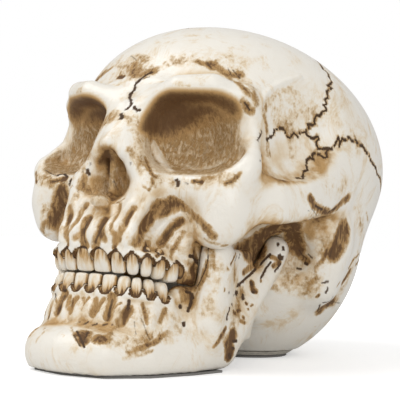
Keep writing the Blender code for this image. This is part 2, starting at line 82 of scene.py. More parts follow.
# Bite and teeth
BITE_HEIGHT = 41.5 * MM
BITE_FALL = math.radians(12)
BITE_GAP = 0.5 * MM
LOWER_ROW_SHIFT = 2.8 * MM
CROWN_HEIGHT = 9.5 * MM
ROOT_HEIGHT = 3.5 * MM
TOOTH_GAP = 0.35 * MM
TEETH = (
    ("central_incisor", "incisor", 9.4 * MM, 7.5 * MM, 6.5 * MM),
    ("lateral_incisor", "incisor", 7.4 * MM, 7.8 * MM, 6.5 * MM),
    ("canine", "canine", 6.9 * MM, 6.8 * MM, 7.5 * MM),
    ("first_premolar", "premolar", 6.6 * MM, 6.4 * MM, 8.0 * MM),
    ("second_premolar", "premolar", 7.1 * MM, 6.2 * MM, 8.5 * MM),
    ("first_molar", "molar", 7.9 * MM, 7.2 * MM, 9.5 * MM),
)
# Levels of a tooth from root to edge: share of its height, of its width and of its depth
TOOTH_LEVEL_SHARES = {
    "incisor": (
        (0, 0.5, 0.6), (0.2, 0.8, 0.85), (0.4, 0.93, 1), (0.62, 0.99, 0.9), (0.9, 1, 0.5), (1, 0.95, 0.3)),
    "canine": (
        (0, 0.5, 0.6), (0.2, 0.8, 0.9), (0.4, 0.93, 1), (0.62, 0.99, 0.9), (0.86, 1, 0.65), (1, 0.66, 0.3)),
    "premolar": (
        (0, 0.55, 0.65), (0.2, 0.82, 0.9), (0.4, 0.93, 1), (0.62, 0.98, 1), (0.86, 1, 0.85), (1, 0.74, 0.5)),
    "molar": (
        (0, 0.6, 0.7), (0.2, 0.84, 0.9), (0.4, 0.94, 1), (0.62, 0.98, 1), (0.86, 1, 0.95), (1, 0.8, 0.65)),
}
TOOTH_SIDES = 12
TOOTH_SQUARE_SHARE = 0.75
TOOTH_SOFTENING = 2
TOOTH_STAINS = {"upper": 0.35, "lower": 0.6}
RIPPLE_DEPTH, RIPPLE_WAVES, RIPPLE_MIDDLE, RIPPLE_REACH = 0.12 * MM, 2, 0.7, 0.3
ARCH_POINTS = ((0, -83), (9, -83), (16.4, -82), (23, -79.3), (27, -74.3), (29.3, -67.8), (30.6, -60), (31.3, -51),
               (31.6, -42), (31.6, -34))
ARCH_STEPS = 12

# Gum along the teeth, opened before each crown by a window
GUM_STEPS = 40
GUM_SET_BACK, GUM_HEIGHT, GUM_RADIUS, GUM_SOFT = 2.0 * MM, 7.9 * MM, 2.7 * MM, 2.0 * MM
WINDOW_OUT, WINDOW_SOFT, NECK_FROM = 0.6 * MM, 0.4 * MM, 4.6 * MM
TIP_UPPER, TIP_LOWER_SHARE, CROWN_SHOWN, LOWER_SHOWN = 0.9 * MM, 0.72, 9.6 * MM, 9.0 * MM
# The dark outline of the windows: its width, its depth on the gum, the fine mesh beside it and its strength
OUTLINE, RIM_DEPTH, WINDOW_BAND, RIM_STRENGTH, CROWN_LINE_SHARE = 0.32 * MM, 1.1 * MM, 1.2 * MM, 0.85, 1.3
# The gum's ends behind the last teeth, in millimetres
UPPER_BLOCK = ((27.4, -56, 50), (27.8, -56.4, 41.2), (28.2, -50, 40.2), (28.2, -48, 50))
LOWER_BLOCK = ((29.3, -47, 22), (28.8, -50, 31.2), (27.6, -58.5, 32))
BLOCK_RADIUS, BLOCK_SOFT = 4.4 * MM, 3.0 * MM

# Paint: how marks fade out, hollows painted brown inside (form, place, half sizes, turn and strength, in
# millimetres), and the painted shade under the brows (lower edge, depth, and how it leans to the nose)
INK_FADE, INK_SHARE = 0.35 * MM, 0.75
BROWN_FADE_SHARE = 1.1
PAINTED_HOLLOWS = (
    ("slab", (34.6, -66, 99.6), (22, 21, 16.6), (0, 0, 12), 1),
    ("ball", (32.5, -60, 99.3), (19, 22, 15.3), (0, 0, 10), 1),
    ("ball", (0, -78, 78), (11.2, 14, 8.8), (0, 0, 0), 1),
    ("ball", (0, -76, 84), (5.5, 12, 8.5), (0, 0, 0), 1),
    # painted shade in the hollow under the cheek arch
    ("ball", (50, -16, 50), (12, 24, 14), (0, 0, 0), 0.6),
)
HOLLOW_FILL, HOLLOW_EDGE, ROOF_EDGE = 0.88, 1.5 * MM, 3.2 * MM
ROOF_FROM, ROOF_DEPTH, ROOF_LEAN, ROOF_SIDE = 103.5 * MM, 10 * MM, 0.55, 30 * MM
DEEP_REACHES, CREVICE_REACHES = (5 * MM, 10 * MM, 18 * MM), (1.2 * MM, 2.4 * MM)

# Seams of the back and the crown of the head: coarse places in millimetres, and how they wind
SAGITTAL_LINE = ((0, -20, 151), (0, 20, 152), (0, 60, 140), (0, 85, 118))
LAMBDOID_LINE = ((0, 85, 118), (25, 84, 104), (48, 70, 84), (58, 52, 62))
VAULT_MIDDLE, VAULT_RISE = (0, 20, 60), 8 * MM
SEAM_STEP, SEAM_SWAY = 1.3 * MM, 0.9 * MM
SEAM_WAVES = ((2.1, 0.0, 1.0), (5.3, 1.3, 0.6), (0.7, 0.5, 0.8))
SEAM_STRENGTH, SEAM_HALF_WIDTH, SEAM_DEPTH = 0.9, 0.28 * MM, 0.35 * MM

# Masses and hollows of the cranium, in millimetres: work, form, place or line, sizes, turn or stretch, softness
CRANIUM_CLAY = (
    ("lay", "ball", (0, 25.5, 97), (72.5, 80, 55), (-22.7, 0, 0), 0),
    ("lay", "ball", (0, -14, 110), (50, 38, 34), (-8, 0, 0), 14),
    ("lay", "ball", (0, 30, 60), (64, 54, 66), (0, 0, 0), 10),
    ("lay", "slab", (29, -12, 34), (6, 14, 14), (0, 0, 0), 6),
    ("lay", "ball", (0, -28, 88), (46, 24, 34), (0, 0, 0), 10),
    ("lay", "ball", (43, -32, 97), (10, 12, 24), (0, 0, 0), 8),
    ("lay", "ball", (0, -50, 66), (32, 26, 24), (0, 0, 0), 8),
    ("lay", "ball", (27, -54, 77), (20, 9, 9), (0, 0, 8), 8),
    ("lay", "line", ((0, -77.5, 55), (9, -77.5, 55), (15, -76, 55), (20, -73, 54.8), (23.5, -67, 54.5),
                     (25.5, -58, 53), (26.5, -46, 50.7), (27, -36, 48.6)),
     (6, 6, 6, 6, 6.5, 7, 7, 7), (1, 1, 1.3), 8),
    ("lay", "line", ((26.6, -43.7, 43), (26.8, -35, 42)), (6, 6), (1, 1, 1.4), 5),
    ("lay", "ball", (0, -49, 118), (14, 9, 8), (0, 0, 0), 8),
    ("lay", "line", ((9, -56, 114), (24, -57, 119), (36, -50, 120), (44, -42, 116)),
     (5.5, 6, 6, 5), (1, 1, 1), 7),
    ("lay", "line", ((45, -41, 116), (47.8, -36, 107), (51, -39, 97.5), (55, -49, 88)),
     (4.2, 3.8, 3.8, 4.2), (1, 1, 1), 6),
    ("lay", "line", ((7, -58, 108), (11, -63, 95), (17, -67, 80), (17, -71, 66)), (5, 5, 6, 6), (1, 1, 1), 6),
    ("lay", "line", ((0, -59, 110), (0, -67, 101), (0, -73, 95)), (4.5, 4.2, 3.8), (1, 1, 1), 4),
    ("lay", "line", ((3.5, -59, 109), (4.5, -66, 100), (6, -70, 92)), (5, 5, 4.5), (1, 1, 1), 4),
    ("lay", "line", ((7, -58, 104), (9, -62, 96), (11, -66, 86)), (5, 5, 5), (1, 1, 1), 5),
    ("lay", "line", ((15, -61, 84), (30, -56, 80), (45, -54, 80.3), (55, -52, 84)),
     (4.5, 5, 5, 4.5), (1, 1, 1), 6),
    ("lay", "ball", (43, -51, 71), (15, 12, 17), (0, 0, -30), 7),
    ("lay", "ball", (43, -55, 60), (8, 7, 7), (0, 0, 0), 6),
    ("lay", "line", ((52, -46, 73), (60, -34, 73), (64, -18, 75), (65, 0, 78), (63, 16, 82)),
     (4.5, 4.5, 4.5, 4.5, 5), (1, 1, 2.2), 7),
    ("lay", "line", ((56, 18, 56), (54, 16, 36)), (12, 8), (1, 1, 1), 8),
    ("lay", "ball", (45, -16, 82), (15, 28, 17), (0, 0, -8), 8),
    ("lay", "ball", (8, -50, 94), (9, 9, 12), (0, 0, 0), 5),
    ("lay", "ball", (25, -22, 54), (9, 13, 12), (0, 0, 0), 6),
    ("press", "slab", (34.2, -66, 99.6), (20.2, 19.5, 15.4), (0, 0, 12), 5),
    ("press", "ball", (32.5, -60, 99.3), (17.5, 20, 13.8), (0, 0, 10), 4),
    ("press", "ball", (66, -20, 108), (11, 21, 19), (0, 0, -14), 8),
    ("press", "ball", (62, -26, 94), (6, 15, 10), (0, 0, -14), 6),
    ("press", "ball", (0, -78, 78), (10.8, 14, 8.2), (0, 0, 0), 3),
    ("press", "ball", (0, -76, 84), (5.5, 12, 8.5), (0, 0, 0), 3),
    ("press", "ball", (31, -72, 62), (11, 9, 13), (0, 0, 0), 6),
    ("press", "ball", (50, -16, 50), (12, 24, 14), (0, 0, 0), 6),
    ("lay", "slab", (0, -63, 82), (1.4, 9, 9), (0, 0, 0), 2),
    ("lay", "ball", (0, -77.5, 70.6), (3.2, 5, 3.2), (0, 0, 0), 3),
)
# Masses of the jaw
JAW_CLAY = (
    ("lay", "line", ((0, -93, 8), (16, -90, 8), (26, -77, 8), (33, -58, 8), (36, -38, 9)),
     (8.5, 8.5, 7.5, 7, 6.5), (1, 1, 1.2), 6),
    ("lay", "line", ((0, -81, 18), (13, -79.5, 18), (22, -71, 17.5), (28, -57, 16), (33, -42, 16)),
     (6.3, 6.3, 6.3, 6.5, 7), (1, 1, 1.5), 8),
    ("lay", "line", ((0, -78, 24.5), (9, -78, 24.5), (15, -77, 24.3), (20, -74, 23.8), (23.5, -68, 22.8),
                     (25.5, -58, 20.9), (28, -46, 19.4)),
     (6.5, 6.5, 6.5, 6.5, 6.5, 6.5, 7), (1, 1, 1.25), 7),
    ("lay", "ball", (0, -94, 8), (16, 7, 7), (0, 0, 0), 8),
    ("lay", "line", ((36, -37, 12), (39, -23, 28), (41, -9, 43), (42, -3, 52)), (6, 6, 6, 6), (1, 1, 1), 6),
    ("lay", "line", ((37.5, -47, 28), (38.5, -47, 42), (39, -47, 54)), (5.5, 5.5, 5), (1, 1, 1), 5),
    ("lay", "line", ((36.3, -53, 22), (36.4, -51, 31), (37, -46.5, 40), (38, -44, 50)),
     (4.4, 4.2, 4.2, 4), (1, 1, 1), 6),
    ("lay", "line", ((28, -43.5, 24.8), (28.5, -36, 24.5)), (5.8, 5.8), (1, 1, 1.25), 5),
    ("lay", "slab", (38.5, -36, 32), (3.7, 17, 20), (0, 0, 4), 6),
)
JAW_GAP = 0.5 * MM

# Seams of the vault, traced in the photograph in pixels
CORONAL_LINE = (
    (296, 44), (307, 50), (310, 53), (316, 58), (320, 64), (323, 69), (328, 73), (329, 77), (332, 82), (328, 86),
    (332, 88), (327, 91), (328, 97), (325, 100), (327, 104), (324, 105), (327, 110), (322, 112), (320, 116),
    (316, 116), (314, 121), (315, 124), (310, 125), (307, 123), (309, 128), (306, 130), (306, 134))
SPHENOID_LINE = (
    (306, 132), (300, 133), (298, 137), (294, 133), (290, 138), (286, 136), (285, 130), (281, 128), (275, 130),
    (273, 136), (270, 137), (267, 140))
SQUAMOUS_LINE = (
    (306, 134), (310, 137), (314, 139), (318, 136), (319, 139), (316, 142), (318, 148), (322, 149), (331, 149),
    (334, 146), (337, 141), (338, 137), (340, 142), (339, 147), (342, 139), (346, 140), (349, 137), (352, 141),
    (356, 140), (358, 144), (363, 146), (366, 152), (369, 155), (370, 159), (373, 164), (376, 168), (377, 174),
    (380, 178), (381, 186), (381, 198), (380, 205))
TEMPLE_LINE = (
    (328, 149), (326, 153), (327, 157), (324, 158), (320, 155), (315, 153), (312, 155), (314, 160), (310, 157),
    (307, 161), (306, 165), (308, 170), (304, 171), (303, 175), (303, 179), (299, 178), (296, 178))
# Marks that the painter and the carver left, with some painted shade, traced in the photograph: paint, whether
# the other side has them too, and each one's strength, half width and depth in millimetres, and places in
# pixels; a depth below nothing is a ridge
CRANIUM_MARKS = (
    ("ink", True, (
        (1, 0.25, 0.4, CORONAL_LINE), (1, 0.25, 0.4, SPHENOID_LINE), (1, 0.25, 0.4, SQUAMOUS_LINE),
        (1, 0.25, 0.4, TEMPLE_LINE), (0.8, 0.3, 0.2, ((262, 131), (261, 135), (258, 140))),
        (0.6, 0.3, 0.2, ((262, 155), (260, 161))))),
    ("brown", True, (
        (0.5, 1.1, 0, CORONAL_LINE), (0.5, 1.1, 0, SPHENOID_LINE), (0.5, 1.1, 0, SQUAMOUS_LINE),
        (0.5, 1.1, 0, TEMPLE_LINE))),
    # crack over the nose
    ("ink", False, (
        (1, 0.45, 0.6, ((152, 72), (147, 75), (141, 79), (137, 82), (135, 85), (134, 90), (130, 94), (129, 97),
            (131, 100), (131, 105), (128, 108), (126, 109))),
        (0.6, 0.25, 0.2, ((137, 82), (143, 80), (150, 77))),
        (0.9, 0.6, 0.4, ((134, 107), (137, 110), (140, 110))), (0.9, 0.8, 0.4, ((121, 114), (122, 118))))),
    # forehead and brows
    ("brown", False, (
        (0.55, 3.6, 0, ((133, 66), (137, 74), (146, 73), (152, 70))),
        (0.35, 3, 0, ((130, 58), (140, 57), (150, 62))), (0.9, 1.1, 0.4, ((118, 77), (123, 77))),
        (0.32, 6, 0, ((108, 80), (122, 72), (136, 66))))),
    ("ink", False, (
        (0.5, 0.3, 0, ((131, 56), (134, 58), (136, 60))),)),
    ("brown", True, (
        (0.35, 2.2, 0, ((152, 72), (165, 66), (178, 61), (195, 60))),
        (0.55, 1.6, 0.2, ((198, 61), (208, 65), (214, 68))),
        (0.62, 2.2, 0.2, ((212, 64), (222, 70), (230, 75), (240, 74))),
        (0.5, 2, 0.2, ((230, 77), (240, 85), (248, 92), (253, 97))),
        (0.62, 2, 0.3, ((243, 102), (247, 107), (251, 111))), (0.35, 2, 0, ((172, 86), (180, 84), (186, 86))),
        (0.3, 5, 0, ((150, 66), (172, 60), (196, 58), (216, 63), (232, 70))),
        (0.24, 5, 0, ((196, 52), (222, 58), (246, 62))), (0.4, 4, 0, ((236, 72), (248, 84), (256, 98))),
        (0.38, 4.5, 0, ((126, 116), (134, 126), (140, 140), (146, 156))),
        (0.36, 4, 0, ((150, 178), (176, 184), (206, 181), (234, 178))),
        (0.26, 7, 0, ((274, 104), (288, 116), (290, 136))),
        (0.25, 7, 0, ((292, 150), (300, 170), (326, 184), (352, 190))),
        (0.22, 7, 0, ((326, 120), (346, 128), (362, 150))),
        (0.38, 6, 0, ((316, 214), (326, 234), (318, 262), (310, 290))),
        (0.26, 6, 0, ((356, 210), (362, 240), (352, 270), (336, 300))))),
    ("ink", True, (
        (0.5, 0.3, 0.1, ((207, 62), (211, 68))), (0.5, 0.3, 0.1, ((228, 68), (232, 76))),
        (0.6, 0.3, 0.1, ((233, 70), (240, 78))), (0.8, 0.3, 0.1, ((245, 103), (250, 110))))),
    # rims of the eye sockets
    ("ink", True, (
        (0.8, 1, 0.8, ((177, 180), (178, 185))), (0.5, 0.4, 0.2, ((186, 183), (188, 184))),
        (0.6, 0.3, 0, ((193, 180), (197, 182), (201, 182))), (0.5, 0.3, 0, ((226, 183), (232, 182))),
        (0.5, 0.5, 0.3, ((130, 163), (131, 165))))),
    ("brown", True, (
        (0.8, 1, 0.3, ((192, 181), (197, 181), (202, 182))),
        (0.7, 1, 0.3, ((225, 183), (231, 181), (237, 177), (240, 173))),
        (0.5, 0.8, 0.2, ((208, 176), (211, 178))),
        (0.8, 1, 0.5, ((146, 158), (149, 166), (152, 174), (155, 176))),
        (0.5, 0.8, 0.4, ((140, 160), (146, 166), (148, 170))), (0.7, 0.8, 0.3, ((152, 178), (153, 183))),
        (0.4, 2.5, 0, ((130, 150), (137, 158), (140, 170))),
        (0.4, 0.8, 0.2, ((143, 186), (149, 190), (151, 186))))),
    ("bare", True, (
        (0.75, 1.5, -0.9, ((153, 145), (158, 155), (163, 163), (170, 171))),
        (0.5, 3, 0, ((143, 142), (147, 152), (153, 163), (160, 170))))),
    # right cheek
    ("brown", False, (
        (0.9, 1.5, 0.9, ((60, 179), (65, 178))), (0.5, 3, 0, ((84, 178), (82, 186), (88, 190))),
        (0.8, 4, 0, ((63, 192), (62, 200), (58, 212), (53, 222))),
        (0.4, 2.5, 0, ((44, 208), (42, 218), (50, 228))), (0.5, 2, 0, ((76, 196), (72, 205))))),
    ("ink", False, (
        (0.9, 0.6, 0, ((58, 175), (64, 174), (67, 176))), (0.6, 0.25, 0.2, ((46, 170), (52, 174), (58, 176))),
        (0.5, 0.3, 0.2, ((71, 173), (75, 172), (83, 171))), (0.8, 0.8, 0.4, ((87, 170), (89, 174))),
        (0.4, 0.25, 0.1, ((72, 185), (78, 192))))),
    # nose and its spine
    ("bare", False, (
        (0.55, 1.4, -0.3, ((84, 203), (94, 201), (105, 202))),)),
    ("brown", False, (
        (0.6, 0.7, 0.3, ((104, 195), (108, 202), (116, 203), (124, 199))),)),
    ("ink", False, (
        (0.5, 0.3, 0.2, ((113, 178), (118, 190), (122, 196))), (0.5, 0.3, 0.2, ((110, 185), (115, 196))))),
    # roots of the upper teeth
    ("brown", True, (
        (0.36, 5, 0, ((84, 226), (108, 232), (136, 236), (160, 238), (182, 248))),
        (0.3, 5, 0, ((112, 216), (140, 214), (165, 218), (184, 230))),
        (0.9, 1, 0.8, ((87, 204), (82, 211), (77, 222), (71, 230), (65, 237))),
        (0.95, 1.5, 1, ((90, 218), (86, 225), (80, 233), (75, 238))),
        (1, 2, 1.1, ((106, 218), (102, 226), (98, 236), (95, 245))),
        (0.95, 1.7, 1, ((133, 209), (127, 217), (121, 230), (116, 240))),
        (0.6, 0.9, 0.3, ((116, 243), (114, 247))),
        (0.85, 2.6, 1, ((173, 203), (162, 209), (150, 218), (142, 230), (137, 240))),
        (0.7, 1.3, 0.3, ((131, 243), (135, 245))),
        (1, 1.9, 1.1, ((180, 221), (173, 226), (166, 235), (161, 243))),
        (0.9, 1.2, 0.5, ((148, 243), (145, 250))), (0.8, 0.8, 0.3, ((160, 249), (161, 253), (157, 256))),
        (0.6, 1.4, 0.8, ((184, 232), (178, 242), (173, 250), (172, 258))),
        (0.8, 2.2, 0.6, ((153, 206), (163, 203), (172, 201), (180, 205))),
        (0.75, 1.5, 0.4, ((160, 215), (170, 212), (178, 209))),
        (0.6, 2, 0.2, ((182, 206), (192, 214), (200, 222), (208, 230), (213, 237))),
        (0.4, 1, 0.2, ((100, 205), (104, 212))), (1, 1, 0.8, ((197, 243), (195, 252), (197, 262))),
        (0.8, 3.4, 0.3, ((193, 270), (196, 278), (190, 285), (183, 280))), (0.5, 2, 0, ((186, 262), (192, 268))),
        (0.4, 1.2, 0.2, ((204, 240), (214, 243), (226, 246))))),
    ("ink", True, (
        (0.6, 0.5, 0.3, ((103, 222), (99, 231), (95, 243))), (0.5, 0.5, 0.3, ((175, 224), (166, 235))),
        (0.4, 0.25, 0.1, ((186, 214), (190, 222))), (0.4, 0.25, 0.1, ((194, 216), (198, 228))),
        (0.4, 0.25, 0.1, ((201, 219), (204, 232))), (0.4, 0.25, 0.1, ((206, 226), (209, 237))),
        (0.9, 0.8, 0.5, ((190, 256), (194, 257), (198, 263))),
        (0.9, 0.5, 0.4, ((200, 281), (196, 288), (188, 291))))),
    ("bare", True, (
        (0.8, 1.2, -0.6, ((63, 234), (72, 222), (80, 208), (86, 201))),
        (0.8, 1, -0.7, ((68, 238), (80, 225), (86, 214), (92, 206))),
        (0.8, 1.9, -0.8, ((86, 240), (93, 228), (99, 214))),
        (0.8, 2.2, -0.9, ((106, 244), (113, 230), (121, 214), (128, 205))),
        (0.9, 1.9, -1.2, ((126, 244), (133, 230), (141, 213), (150, 202))),
        (0.8, 1.6, -1, ((150, 241), (158, 230), (168, 220), (176, 214))),
        (0.7, 1.6, -0.6, ((186, 245), (188, 236), (191, 229))))),
    # temple and the ridge over it, with painted shade along the front edge of its hollow
    ("bare", True, (
        (0.7, 1.1, -0.8, ((261, 104), (266, 94), (274, 87), (286, 81), (300, 77))),)),
    ("brown", True, (
        (0.4, 2.6, 0, ((268, 104), (276, 95), (290, 90))), (0.3, 8, 0, ((285, 110), (300, 105), (312, 110))),
        (0.45, 2, 0, ((268, 100), (264, 115), (268, 135), (268, 155))), (0.3, 5, 0, ((275, 120), (290, 128))),
        (0.75, 1.9, 0.4, ((311, 198), (314, 205), (321, 210), (330, 213), (337, 208), (343, 202), (349, 197))),
        (0.35, 1, 0, ((358, 208), (360, 218), (361, 228), (362, 236))), (0.35, 1, 0, ((366, 212), (368, 222))))),
    ("ink", True, (
        (0.8, 0.5, 0.2, ((316, 206), (323, 210))), (0.8, 0.5, 0.2, ((330, 212), (336, 208))),
        (0.5, 0.3, 0.1, ((308, 210), (314, 218), (313, 222))), (0.5, 0.3, 0.1, ((312, 209), (317, 216))))),
    # painted shade behind the hinge and under the cheek arch
    ("brown", True, (
        (1, 3.6, 0, ((238, 252), (250, 247), (262, 238), (275, 229), (288, 226))),
        (0.9, 3, 0, ((244, 262), (256, 256), (268, 246))))),
    # hollow behind the ear, with rough edges, and painted shade under the back of the cheek arch
    ("brown", True, (
        (1, 3.9, 1.8, ((346, 229), (342, 240), (336, 252))),
        (0.8, 1.1, 0.4, ((328, 250), (324, 257), (322, 261))), (0.6, 2, 0.2, ((300, 255), (308, 262))),
        (0.35, 5, 0, ((292, 275), (288, 285), (296, 280))), (0.35, 2, 0, ((268, 285), (280, 290))),
        (0.8, 1.4, 0.3, ((343, 282), (347, 276), (350, 271))),
        (0.7, 0.8, 0.2, ((356, 265), (360, 257), (367, 248))),
        (0.6, 0.7, 0.2, ((349, 268), (353, 260), (359, 254))),
        (0.85, 2.8, 0.3, ((320, 311), (325, 306), (332, 302))), (0.8, 0.8, 0.3, ((317, 297), (319, 295))),
        (0.5, 0.5, 0.1, ((340, 282), (337, 287))), (1, 4, 0, ((292, 226), (294, 236), (297, 246))),
        (0.25, 0.8, 0, ((255, 330), (275, 325), (300, 319))), (0.25, 0.8, 0, ((310, 328), (325, 322))))),
    ("ink", True, (
        (0.5, 0.5, 0.4, ((340, 232), (338, 245))), (0.5, 0.5, 0.4, ((346, 236), (342, 247))),
        (0.5, 0.5, 0.4, ((334, 249), (331, 257))), (0.8, 0.8, 0.5, ((305, 263), (307, 264))),
        (0.7, 0.6, 0.4, ((297, 268), (301, 269))), (0.6, 0.4, 0.2, ((299, 250), (302, 255), (306, 258))),
        (0.6, 0.4, 0.2, ((308, 254), (312, 258))), (0.7, 0.4, 0.4, ((323, 303), (330, 301), (333, 297))),
        (0.7, 0.4, 0.4, ((320, 305), (318, 312))), (0.5, 0.3, 0.1, ((331, 302), (340, 303))),
        (0.7, 0.4, 0.2, ((322, 283), (328, 282))), (0.7, 0.5, 0.2, ((328, 288), (326, 293))))),
)
JAW_MARKS = (
    # roots of the lower teeth
    ("brown", True, (
        (0.36, 4, 0, ((60, 303), (90, 307), (120, 312), (150, 317), (175, 319))),
        (0.8, 0.6, 0.4, ((57, 298), (58, 306))), (0.9, 1.2, 0.7, ((70, 297), (69, 303), (68, 308))),
        (0.7, 1, 0.5, ((84, 298), (85, 305))), (1, 1.4, 0.8, ((96, 300), (95, 306), (93, 314))),
        (1, 2.1, 1, ((112, 298), (111, 306), (108, 316))), (1, 1.9, 0.9, ((129, 310), (125, 315), (121, 322))),
        (0.7, 0.8, 0.5, ((142, 304), (145, 314), (147, 324))),
        (0.6, 1.2, 0.6, ((166, 309), (163, 315), (159, 322))),
        (0.36, 4.5, 0, ((110, 340), (134, 340), (158, 334), (180, 330))),
        (0.34, 4, 0, ((210, 250), (214, 268), (212, 290), (206, 312))),
        (0.36, 4, 0, ((234, 270), (240, 292), (236, 316), (228, 340))))),
    ("ink", True, (
        (0.6, 0.6, 0.3, ((112, 300), (108, 315))), (0.8, 0.8, 0.3, ((129, 301), (128, 308))),
        (0.5, 0.25, 0.2, ((141, 318), (146, 330), (150, 340))), (0.5, 0.25, 0.1, ((134, 322), (136, 334))))),
    ("bare", True, (
        (0.7, 1.4, -0.6, ((64, 296), (63, 312))), (0.7, 1.5, -0.6, ((77, 296), (76, 312))),
        (0.7, 1.6, -0.7, ((90, 298), (89, 314))), (0.7, 1.8, -0.8, ((103, 300), (101, 318))),
        (0.7, 1.8, -0.8, ((119, 303), (116, 320))), (0.7, 1.8, -0.7, ((137, 307), (133, 322))),
        (0.7, 1.8, -0.7, ((155, 308), (150, 324))), (0.7, 1.8, -0.6, ((174, 310), (169, 324))))),
    # chin
    ("ink", False, (
        (0.6, 0.5, 0.2, ((80, 322), (80.5, 322))), (0.6, 0.5, 0.2, ((84, 324), (88, 322))),
        (0.6, 0.5, 0.2, ((92, 325), (97, 324))), (0.6, 0.5, 0.2, ((103, 325), (107, 324))),
        (0.5, 0.4, 0.2, ((112, 325), (113, 325))), (0.75, 0.5, 0.5, ((77, 331), (80, 337), (83, 344), (84, 347))),
        (0.6, 0.4, 0.4, ((88, 331), (86, 336), (84, 341))), (0.6, 0.4, 0.3, ((74, 335), (80, 346))))),
    ("brown", False, (
        (1, 2.4, 0.3, ((80, 333), (86, 334), (84, 340))), (0.95, 2.3, 0.5, ((97, 338), (102, 339))),
        (0.45, 2, 0, ((109, 334), (114, 328))), (0.5, 0.8, 0, ((68, 322), (72, 330), (78, 342))),
        (0.3, 1, 0, ((36, 342), (44, 332), (48, 322))), (0.4, 0.8, 0, ((62, 333), (64, 336))))),
    ("ink", True, (
        (1, 0.9, 0.8, ((184, 323.5), (184, 325))), (0.9, 0.8, 0.5, ((180, 307), (181, 307))),
        (0.8, 0.7, 0.5, ((192, 294), (191, 302), (188, 311))),
        (0.9, 0.6, 0.4, ((186, 292), (190, 292), (193, 298))), (0.35, 0.25, 0, ((140, 346), (152, 343))))),
    ("brown", True, (
        (0.6, 1.2, 0, ((128, 353), (140, 348), (152, 344), (160, 338), (167, 332))),
        (0.35, 1.2, 0, ((124, 358), (140, 355), (152, 350))), (0.3, 1, 0, ((195, 340), (198, 344))))),
    # gum block of the jaw and the edge beside it
    ("brown", True, (
        (0.85, 2.6, 0, ((172, 287), (179, 285), (185, 289), (186, 297))),
        (0.6, 1.6, 0.2, ((207, 262), (204, 276), (199, 288), (195, 300))),
        (0.45, 1, 0.2, ((213, 250), (213, 262), (214, 270))), (0.3, 0.8, 0.1, ((212, 272), (212, 281))))),
    ("ink", True, (
        (0.7, 0.3, 0.3, ((209, 246), (208, 258), (205, 270), (200, 281), (196, 288))),)),
    # hinge
    ("ink", True, (
        (1, 0.6, 0.6, ((270, 254), (262, 262), (250, 275), (238, 286))),
        (0.8, 0.8, 0.5, ((278, 243.5), (278, 244.5))), (0.9, 1, 0.6, ((283.5, 247.5), (284, 248.5))),
        (0.7, 0.4, 0.3, ((284, 238), (288, 243), (290, 249))), (0.9, 1.5, 0.8, ((280, 257), (282, 258))),
        (0.8, 0.5, 0.4, ((271, 262), (266, 268), (264, 272), (261, 278))),
        (0.8, 0.5, 0.4, ((281, 264), (278, 268), (275, 271))))),
    # brown about the hinge, and painted shade where the cheek arch hangs over it
    ("brown", True, (
        (0.7, 1.6, 0.4, ((244, 272), (252, 266), (262, 256))),
        (1, 3.6, 0.4, ((246, 252), (254, 256), (260, 250))),
        (0.7, 1.2, 0.2, ((272, 257), (280, 262), (274, 266))))),
    # pits of the jaw's rear part
    ("brown", True, (
        (0.9, 1.2, 0.5, ((252, 283), (253, 290), (256, 291))), (0.8, 0.9, 0.3, ((234, 312), (235, 313))),
        (0.8, 0.8, 0.3, ((238, 311), (240, 310))), (0.8, 0.6, 0.3, ((246, 303), (247, 304))),
        (0.6, 0.5, 0.2, ((251, 306), (253, 305))), (0.7, 0.5, 0.2, ((248, 309), (248.5, 309))),
        (0.8, 0.7, 0.3, ((243, 317), (244, 318))), (0.8, 0.9, 0.3, ((241, 321), (245, 323))),
        (0.8, 0.6, 0.2, ((261, 280), (261, 281))), (0.5, 0.6, 0.2, ((225, 289), (225, 291))),
        (0.5, 0.5, 0.2, ((228, 269), (229, 270))), (0.7, 0.6, 0.2, ((231, 264), (234, 258), (236, 253))),
        (0.95, 2.4, 0.5, ((234, 334), (229, 344), (230, 356))),
        (0.7, 1, 0.2, ((226, 328), (220, 338), (214, 347))), (0.3, 2, 0, ((204, 336), (206, 337))),
        (0.3, 2, 0, ((200, 255), (216, 264), (226, 270))))),
    ("ink", True, (
        (0.9, 0.7, 0.4, ((251, 282), (252, 284))), (0.9, 0.8, 0.4, ((253, 292), (254, 292))),
        (1, 1, 0.6, ((236, 293), (237.5, 293))), (1, 0.8, 0.5, ((243, 296), (243, 298.5))),
        (0.6, 0.5, 0.3, ((229, 293), (230, 293))), (0.6, 0.5, 0.3, ((234, 296), (234.5, 295))),
        (0.8, 0.5, 0.3, ((232, 304), (232.5, 305))), (0.9, 0.5, 0.4, ((230, 308), (228, 314), (227.5, 318))),
        (0.9, 0.8, 0.5, ((227, 318), (227.5, 319))), (0.6, 0.35, 0.2, ((235, 261), (237, 256))),
        (0.6, 0.35, 0.2, ((239, 258), (240, 254))), (0.9, 0.9, 0.4, ((234, 341), (237, 341))),
        (1, 0.9, 0.4, ((230, 355), (230.5, 358))), (0.7, 0.7, 0.3, ((233, 348), (234, 349))))),
)


def spot(place):
    """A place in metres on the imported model, from millimetres."""
    return np.array(place, float) * MM + (0, EAR_LINE, 0)


def turning(degrees):
    return np.array(Euler([math.radians(angle) for angle in degrees]).to_matrix())


def one_side(points, side=1):
    """Points brought over to one side of the middle plane."""
    return np.column_stack((np.abs(points[:, 0]) * side, points[:, 1:]))


class Ball:
    """An ellipsoid."""

    def __init__(self, place, half, turn):
        self.middle, self.half, self.turn = spot(place), np.array(half) * MM, turning(turn)
        self.span = self.half.max()

    def height(self, points):
        local = (points - self.middle) @ self.turn
        ring = np.linalg.norm(local / self.half, axis=1)
        slope = np.linalg.norm(local / self.half ** 2, axis=1)
        return ring * (ring - 1) / np.maximum(slope, 1 / FAR)

    def block(self, mesh):
        pose = Matrix.Translation(self.middle) @ Matrix(self.turn).to_4x4()
        size = Matrix.Diagonal((*self.half, 1))
        bmesh.ops.create_icosphere(mesh, subdivisions=BALL_STEPS, radius=1, matrix=pose @ size)


